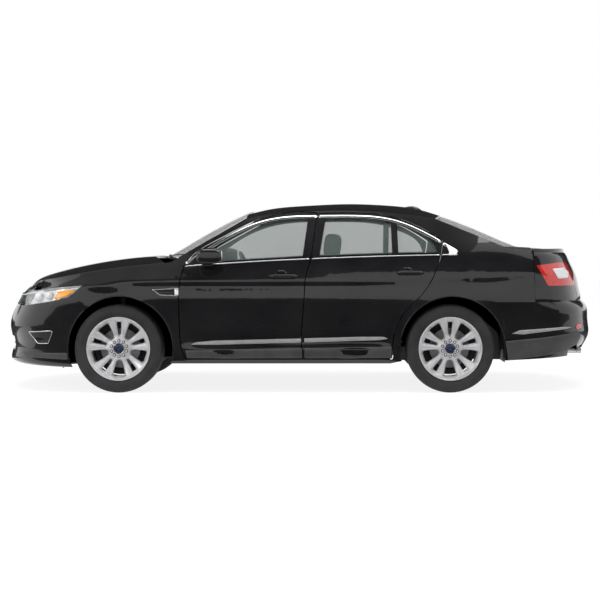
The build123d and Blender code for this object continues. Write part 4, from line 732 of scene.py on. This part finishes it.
for sideName, side in sides:
    amber = makeMesh(f"amberLamp_{sideName}", *sidePatch(amberOutline, side, .004, .006), amberLens)
    settle(amber, "body", "tail_lamp_lens")
    back = makeMesh(f"lampBack_{sideName}", *sidePatch(lampOutline, side, -.045, .003), chromeTrim)
    settle(back, "body", "grille_chrome")
    bowls = []
    for px, py, size in ((34, 298.5, .05), (46, 296.5, .042)):
        x, z = photoPoint(px, py)
        spot = onSide(x, z, side, -.03)
        bowls.append(roundedBlock(spot, (size * 1.4, size * 1.4, size * 1.5), 0, .9, 16, 28))
    bowl = makeMesh(f"lampBowl_{sideName}", *joined(bowls), clearLens)
    settle(bowl, "body", "lamp_glass")
    white = makeMesh(f"reverseLamp_{sideName}", *sidePatch(tailWindow, side, .006, .01), clearLens)
    settle(white, "body", "lamp_glass")
    shapes = [sideStrip(ventOutline + ventOutline[:1], side, .009, .008, .004, .008, True),
              sidePatch(ventBlock, side, .008, .012, .008)]
    ventFrame = makeMesh(f"wingVentFrame_{sideName}", *joined(shapes), chromeTrim)
    settle(ventFrame, "body", "grille_chrome")
    shapes = [sidePatch(outline, side, .006, .01, .008) for outline in ventSlots]
    slats = makeMesh(f"wingVentSlots_{sideName}", *joined(shapes), glossBlack)
    settle(slats, "body", "black_trim")
    shape = sideStrip(fogOutline + fogOutline[:1], side, .007, .006, .006, .012, True)
    fogFrame = makeMesh(f"fogFrame_{sideName}", *shape, chromeTrim)
    settle(fogFrame, "body", "grille_chrome")
    fogInner = makeMesh(f"fogPanel_{sideName}", *sidePatch(fogOutline, side, .003, .01), blackTrim)
    settle(fogInner, "body", "black_trim")
    reflector = makeMesh(f"reflector_{sideName}", *sidePatch(reflectorOutline, side, .005, .01, .006), redLens)
    settle(reflector, "body", "tail_lamp_lens")
    # painted highlight on the rear bumper, a flat grey patch in place of its reflection
    strip = makeMesh(f"bumperStrip_{sideName}", *sidePatch(bumperHighlight, side, .005, .01), paintedHighlightGrey)
    settle(strip, "body", "grille_chrome")
    # painted highlight on each door's lower ledge, a flat grey patch in place of the reflection
    for place, outline in ledgeHighlights.items():
        shape = sidePatch(photoOutline(*outline), side, .006, .01)
        ledge = makeMesh(f"ledge_{place}_{sideName}", *shape, paintedHighlightGrey)
        settle(ledge, f"{place}_{sideName}_body", "grille_chrome")
    for label, (place, outline) in valanceRuns.items():
        skirt = makeMesh(f"skirt_{label}_{sideName}", *sidePatch(outline, side, .005, .01, .016), valanceGrey)
        settle(skirt, "body" if place == "body" else f"{place}_{sideName}_body", "black_trim")
print("trim done")

# painted nose under the front edge of the hood, down to the lamps, and a bright lip above the grille
noseLook = {"halfSpan": .59, "lipSpan": .395, "low": .797, "lampLow": .849, "grilleX": -2.43, "bow": .2875}
hoodEdgeY = [0, .2, .26, .3, .34, .38, .42, .45, .5, .56, .64, .7]
hoodEdgeX = [-2.378, -2.364, -2.352, -2.34, -2.326, -2.308, -2.287, -2.268, -2.229, -2.183, -2.11, -2.05]
hoodEdgeZ = [.834, .828, .825, .83, .841, .863, .88, .889, .902, .917, .932, .941]


def noseAhead(y):
    if abs(y) < .4:
        return noseLook["grilleX"] + noseLook["bow"] * y * y
    return float(np.interp(abs(y), (.4, .425, .5, .56, .64, .7), (-2.384, -2.304, -2.304, -2.297, -2.25, -2.2)))


noseRings = []
for y in np.linspace(-noseLook["halfSpan"], noseLook["halfSpan"], 89):
    ahead = noseAhead(y) + .004
    behind = float(np.interp(abs(y), hoodEdgeY, hoodEdgeX)) + .002
    high = float(np.interp(abs(y), hoodEdgeY, hoodEdgeZ)) - .001
    low = float(np.interp(abs(y), (.4, .425), (noseLook["low"], noseLook["lampLow"]))) + .002
    section = [(ahead, low), (.45 * ahead + .55 * behind - .005, .45 * low + .55 * high + .003), (behind, high),
               (behind, high - .017), (ahead + .026, low)]
    noseRings.append([(x, y, z) for x, z in section])
hoodNose = makeMesh("hoodNose", *ringTube(noseRings), blackPaint)
settle(hoodNose, "hood_body", "body_paint")
lipRings = []
for y in np.linspace(-noseLook["lipSpan"], noseLook["lipSpan"], 43):
    ahead, low = noseAhead(y), noseLook["low"]
    section = [(ahead, low), (ahead + .007, low + .014), (ahead + .02, low + .014), (ahead + .02, low)]
    lipRings.append([(x, y, z) for x, z in section])
hoodLip = makeMesh("hoodLip", *ringTube(lipRings), chromeTrim, False)
settle(hoodLip, "hood_body", "grille_chrome")

# wipers lie along the bottom of the windscreen
for k, (y0, y1) in enumerate(((-.52, .1), (.02, .6))):
    rings = []
    for t in np.linspace(0, 1, 24):
        y = y0 + (y1 - y0) * t
        z = 1.122 + .012 * math.sin(math.pi * t)
        x = lines["screen"](z) + .15 * (y / .7) ** 2 - .014
        rings.append([(x + .007 * math.cos(a), y, z + .006 * math.sin(a)) for a in turns(10)])
    wiper = makeMesh(f"wiper_{k}", *ringTube(rings), blackTrim)
    settle(wiper, "body", "black_trim")

# aerial fin on the roof
finRings = []
for t in np.linspace(0, 1, 16):
    x = .93 + .16 * t
    height = .03 * math.sin(math.pi * min(1, t * 1.05)) ** .7 * (.5 + .5 * t) + .002
    wide = .018 * math.sin(math.pi * (.1 + .85 * t)) + .002
    z0 = lines["roof"](x) - .004
    finRings.append([(x, wide * math.cos(a), z0 + (height + .004) * max(0, math.sin(a)) ** .8)
                     for a in turns(16)])
fin = makeMesh("roofFin", *ringTube(finRings), blackPaint)
settle(fin, "body", "body_paint")

# seats: crowned cushions with bolsters and head rests
seatLook = {"middleY": .37, "fill": .75}
for sideName, side in sides:
    y = side * seatLook["middleY"]
    pads = [roundedBlock((-.12, y, .535), (.54, .36, .19), -.06, .5, 26, 44, .018),
            roundedBlock((-.12, y - .205, .545), (.53, .09, .22), -.06, .6, 20, 32, .01),
            roundedBlock((-.12, y + .205, .545), (.53, .09, .22), -.06, .6, 20, 32, .01),
            roundedBlock((.215, y, .895), (.15, .35, .6), .29, .5, 26, 44, 0, -.12),
            roundedBlock((.2, y - .2, .87), (.16, .09, .56), .29, .6, 20, 32),
            roundedBlock((.2, y + .2, .87), (.16, .09, .56), .29, .6, 20, 32),
            roundedBlock((.285, y, 1.21), (.15, .27, .21), .12, .6, 20, 36),
            roundedBlock((-.1, y, .37), (.5, .44, .13), 0, .25, 12, 24)]
    seat = makeMesh(f"frontSeat_{sideName}", *joined(pads), seatLeather)
    settle(seat, "body", "seat_leather", *(["front_seats"] if sideName == "left" else []))
rearPads = [roundedBlock((.985, 0, .53), (.42, 1.08, .2), -.05, .4, 26, 60, .015),
            roundedBlock((1.3, -.27, .84), (.15, .53, .56), .3, .45, 24, 44),
            roundedBlock((1.3, .27, .84), (.15, .53, .56), .3, .45, 24, 44),
            roundedBlock((1.395, -.3, 1.15), (.09, .24, .1), .15, .6, 18, 32),
            roundedBlock((1.395, .3, 1.15), (.09, .24, .1), .15, .6, 18, 32)]
bench = makeMesh("rearBench", *joined(rearPads), seatLeather)
settle(bench, "body", "seat_leather", "rear_seat")
print("cabin done")

# floor, light and camera
floorCorners = [(-40, -40, 0), (40, -40, 0), (40, 40, 0), (-40, 40, 0)]
floor = makeMesh("studioFloor", floorCorners, [(0, 1, 2, 3)], blackTrim, False)
floorMat, shader = newMaterial("studioFloorPaper", (.9, .9, .9), .8)
shader.inputs["Specular IOR Level"].default_value = .1
tree = floorMat.node_tree
glow = tree.nodes.new("ShaderNodeEmission")
glow.inputs["Strength"].default_value = 1.16
mixed = tree.nodes.new("ShaderNodeMixShader")
floor.data.materials[0] = floorMat


# one where a ray comes from the camera, a mirror or glass, so that all three see the pale background
def seenRays(tree):
    path = tree.nodes.new("ShaderNodeLightPath")
    value = path.outputs["Is Camera Ray"]
    for name in ("Is Glossy Ray", "Is Transmission Ray"):
        larger = tree.nodes.new("ShaderNodeMath")
        larger.operation = "MAXIMUM"
        tree.links.new(value, larger.inputs[0])
        tree.links.new(path.outputs[name], larger.inputs[1])
        value = larger.outputs["Value"]
    return value


share = tree.nodes.new("ShaderNodeMath")
share.operation = "MULTIPLY"
share.inputs[1].default_value = .74
tree.links.new(seenRays(tree), share.inputs[0])
tree.links.new(share.outputs["Value"], mixed.inputs["Fac"])
tree.links.new(shader.outputs["BSDF"], mixed.inputs[1])
tree.links.new(glow.outputs["Emission"], mixed.inputs[2])
tree.links.new(mixed.outputs["Shader"], tree.nodes["Material Output"].inputs["Surface"])

world = bpy.data.worlds.new("studioWorld")
world.use_nodes = True
scene.world = world
tree = world.node_tree
background = tree.nodes["Background"]
level = tree.nodes.new("ShaderNodeMapRange")
level.inputs["To Min"].default_value = .55
level.inputs["To Max"].default_value = 1.0
tree.links.new(seenRays(tree), level.inputs["Value"])
tree.links.new(level.outputs["Result"], background.inputs["Strength"])
background.inputs["Color"].default_value = (1, 1, 1, 1)

# dark studio flags on both sides of the car and a pale strip on each, seen only as reflections in the paint
wallMat, shader = newMaterial("studioFlag", (.012, .012, .013), .9)
stripMat, shader = newMaterial("studioStrip", (0, 0, 0), 1)
shader.inputs["Emission Color"].default_value = (1, 1, 1, 1)
shader.inputs["Emission Strength"].default_value = .9
veilMat, shader = newMaterial("studioVeil", (0, 0, 0), 1)
shader.inputs["Emission Color"].default_value = (1, 1, 1, 1)
shader.inputs["Emission Strength"].default_value = .3
flagLook = {"distance": 6, "height": 7, "length": 9, "strip": {"left": (.7, 3.6), "right": (.7, 1.7)},
            "cloth": (-2, 2.3, 6.3), "veil": (-6, -2)}
for sideName, side in sides:
    y = side * flagLook["distance"]
    long = flagLook["length"]
    low, high = flagLook["strip"][sideName]
    flag = [(-long, y, .01), (long, y, .01), (long, y, flagLook["height"]), (-long, y, flagLook["height"])]
    carpet = [(-long, y, .01), (long, y, .01), (long, side * 1.15, .01), (-long, side * 1.15, .01)]
    inFront = y - side * .02
    pale = [(-long, inFront, low), (long, inFront, low), (long, inFront, high), (-long, inFront, high)]
    back, front, top = flagLook["cloth"]
    cloth = [(back, y, top), (front, y, top), (front, side * 1.2, top), (back, side * 1.2, top)]
    ahead, behind = flagLook["veil"]
    veil = [(ahead, y, top), (behind, y, top), (behind, 0, top), (ahead, 0, top)]
    cards = (("flag", flag, wallMat), ("carpet", carpet, wallMat), ("strip", pale, stripMat),
             ("cloth", cloth, wallMat), ("veil", veil, veilMat))
    for label, corners, mat in cards:
        card = makeMesh(f"{label}_{sideName}", corners, [(0, 1, 2, 3)], mat, False)
        card.visible_camera = False
        card.visible_diffuse = False
        card.visible_shadow = False
        card.visible_transmission = False


def softBox(name, location, turn, size, power):
    lamp = bpy.data.lights.new(name, "AREA")
    lamp.shape = "RECTANGLE"
    lamp.size, lamp.size_y = size
    lamp.energy = power
    obj = bpy.data.objects.new(name, lamp)
    obj.location = location
    obj.rotation_euler = turn
    scene.collection.objects.link(obj)
    return obj


softBox("topBox", (0, -1.5, 6.5), (0, 0, 0), (9, 5), 520)
softBox("frontBox", (-7, -6, 4), (math.radians(60), 0, math.radians(-50)), (4, 3), 160)

cameraData = bpy.data.cameras.new("photoCamera")
cameraData.lens = 80.5
cameraData.sensor_width = 36
cameraData.shift_x = -.0417
cameraData.shift_y = -.0858
camera = bpy.data.objects.new("photoCamera", cameraData)
camera.location = (.221, -11.95, 1.189)
camera.rotation_euler = (math.pi / 2, 0, 0)
scene.collection.objects.link(camera)
scene.camera = camera
print("stage done")
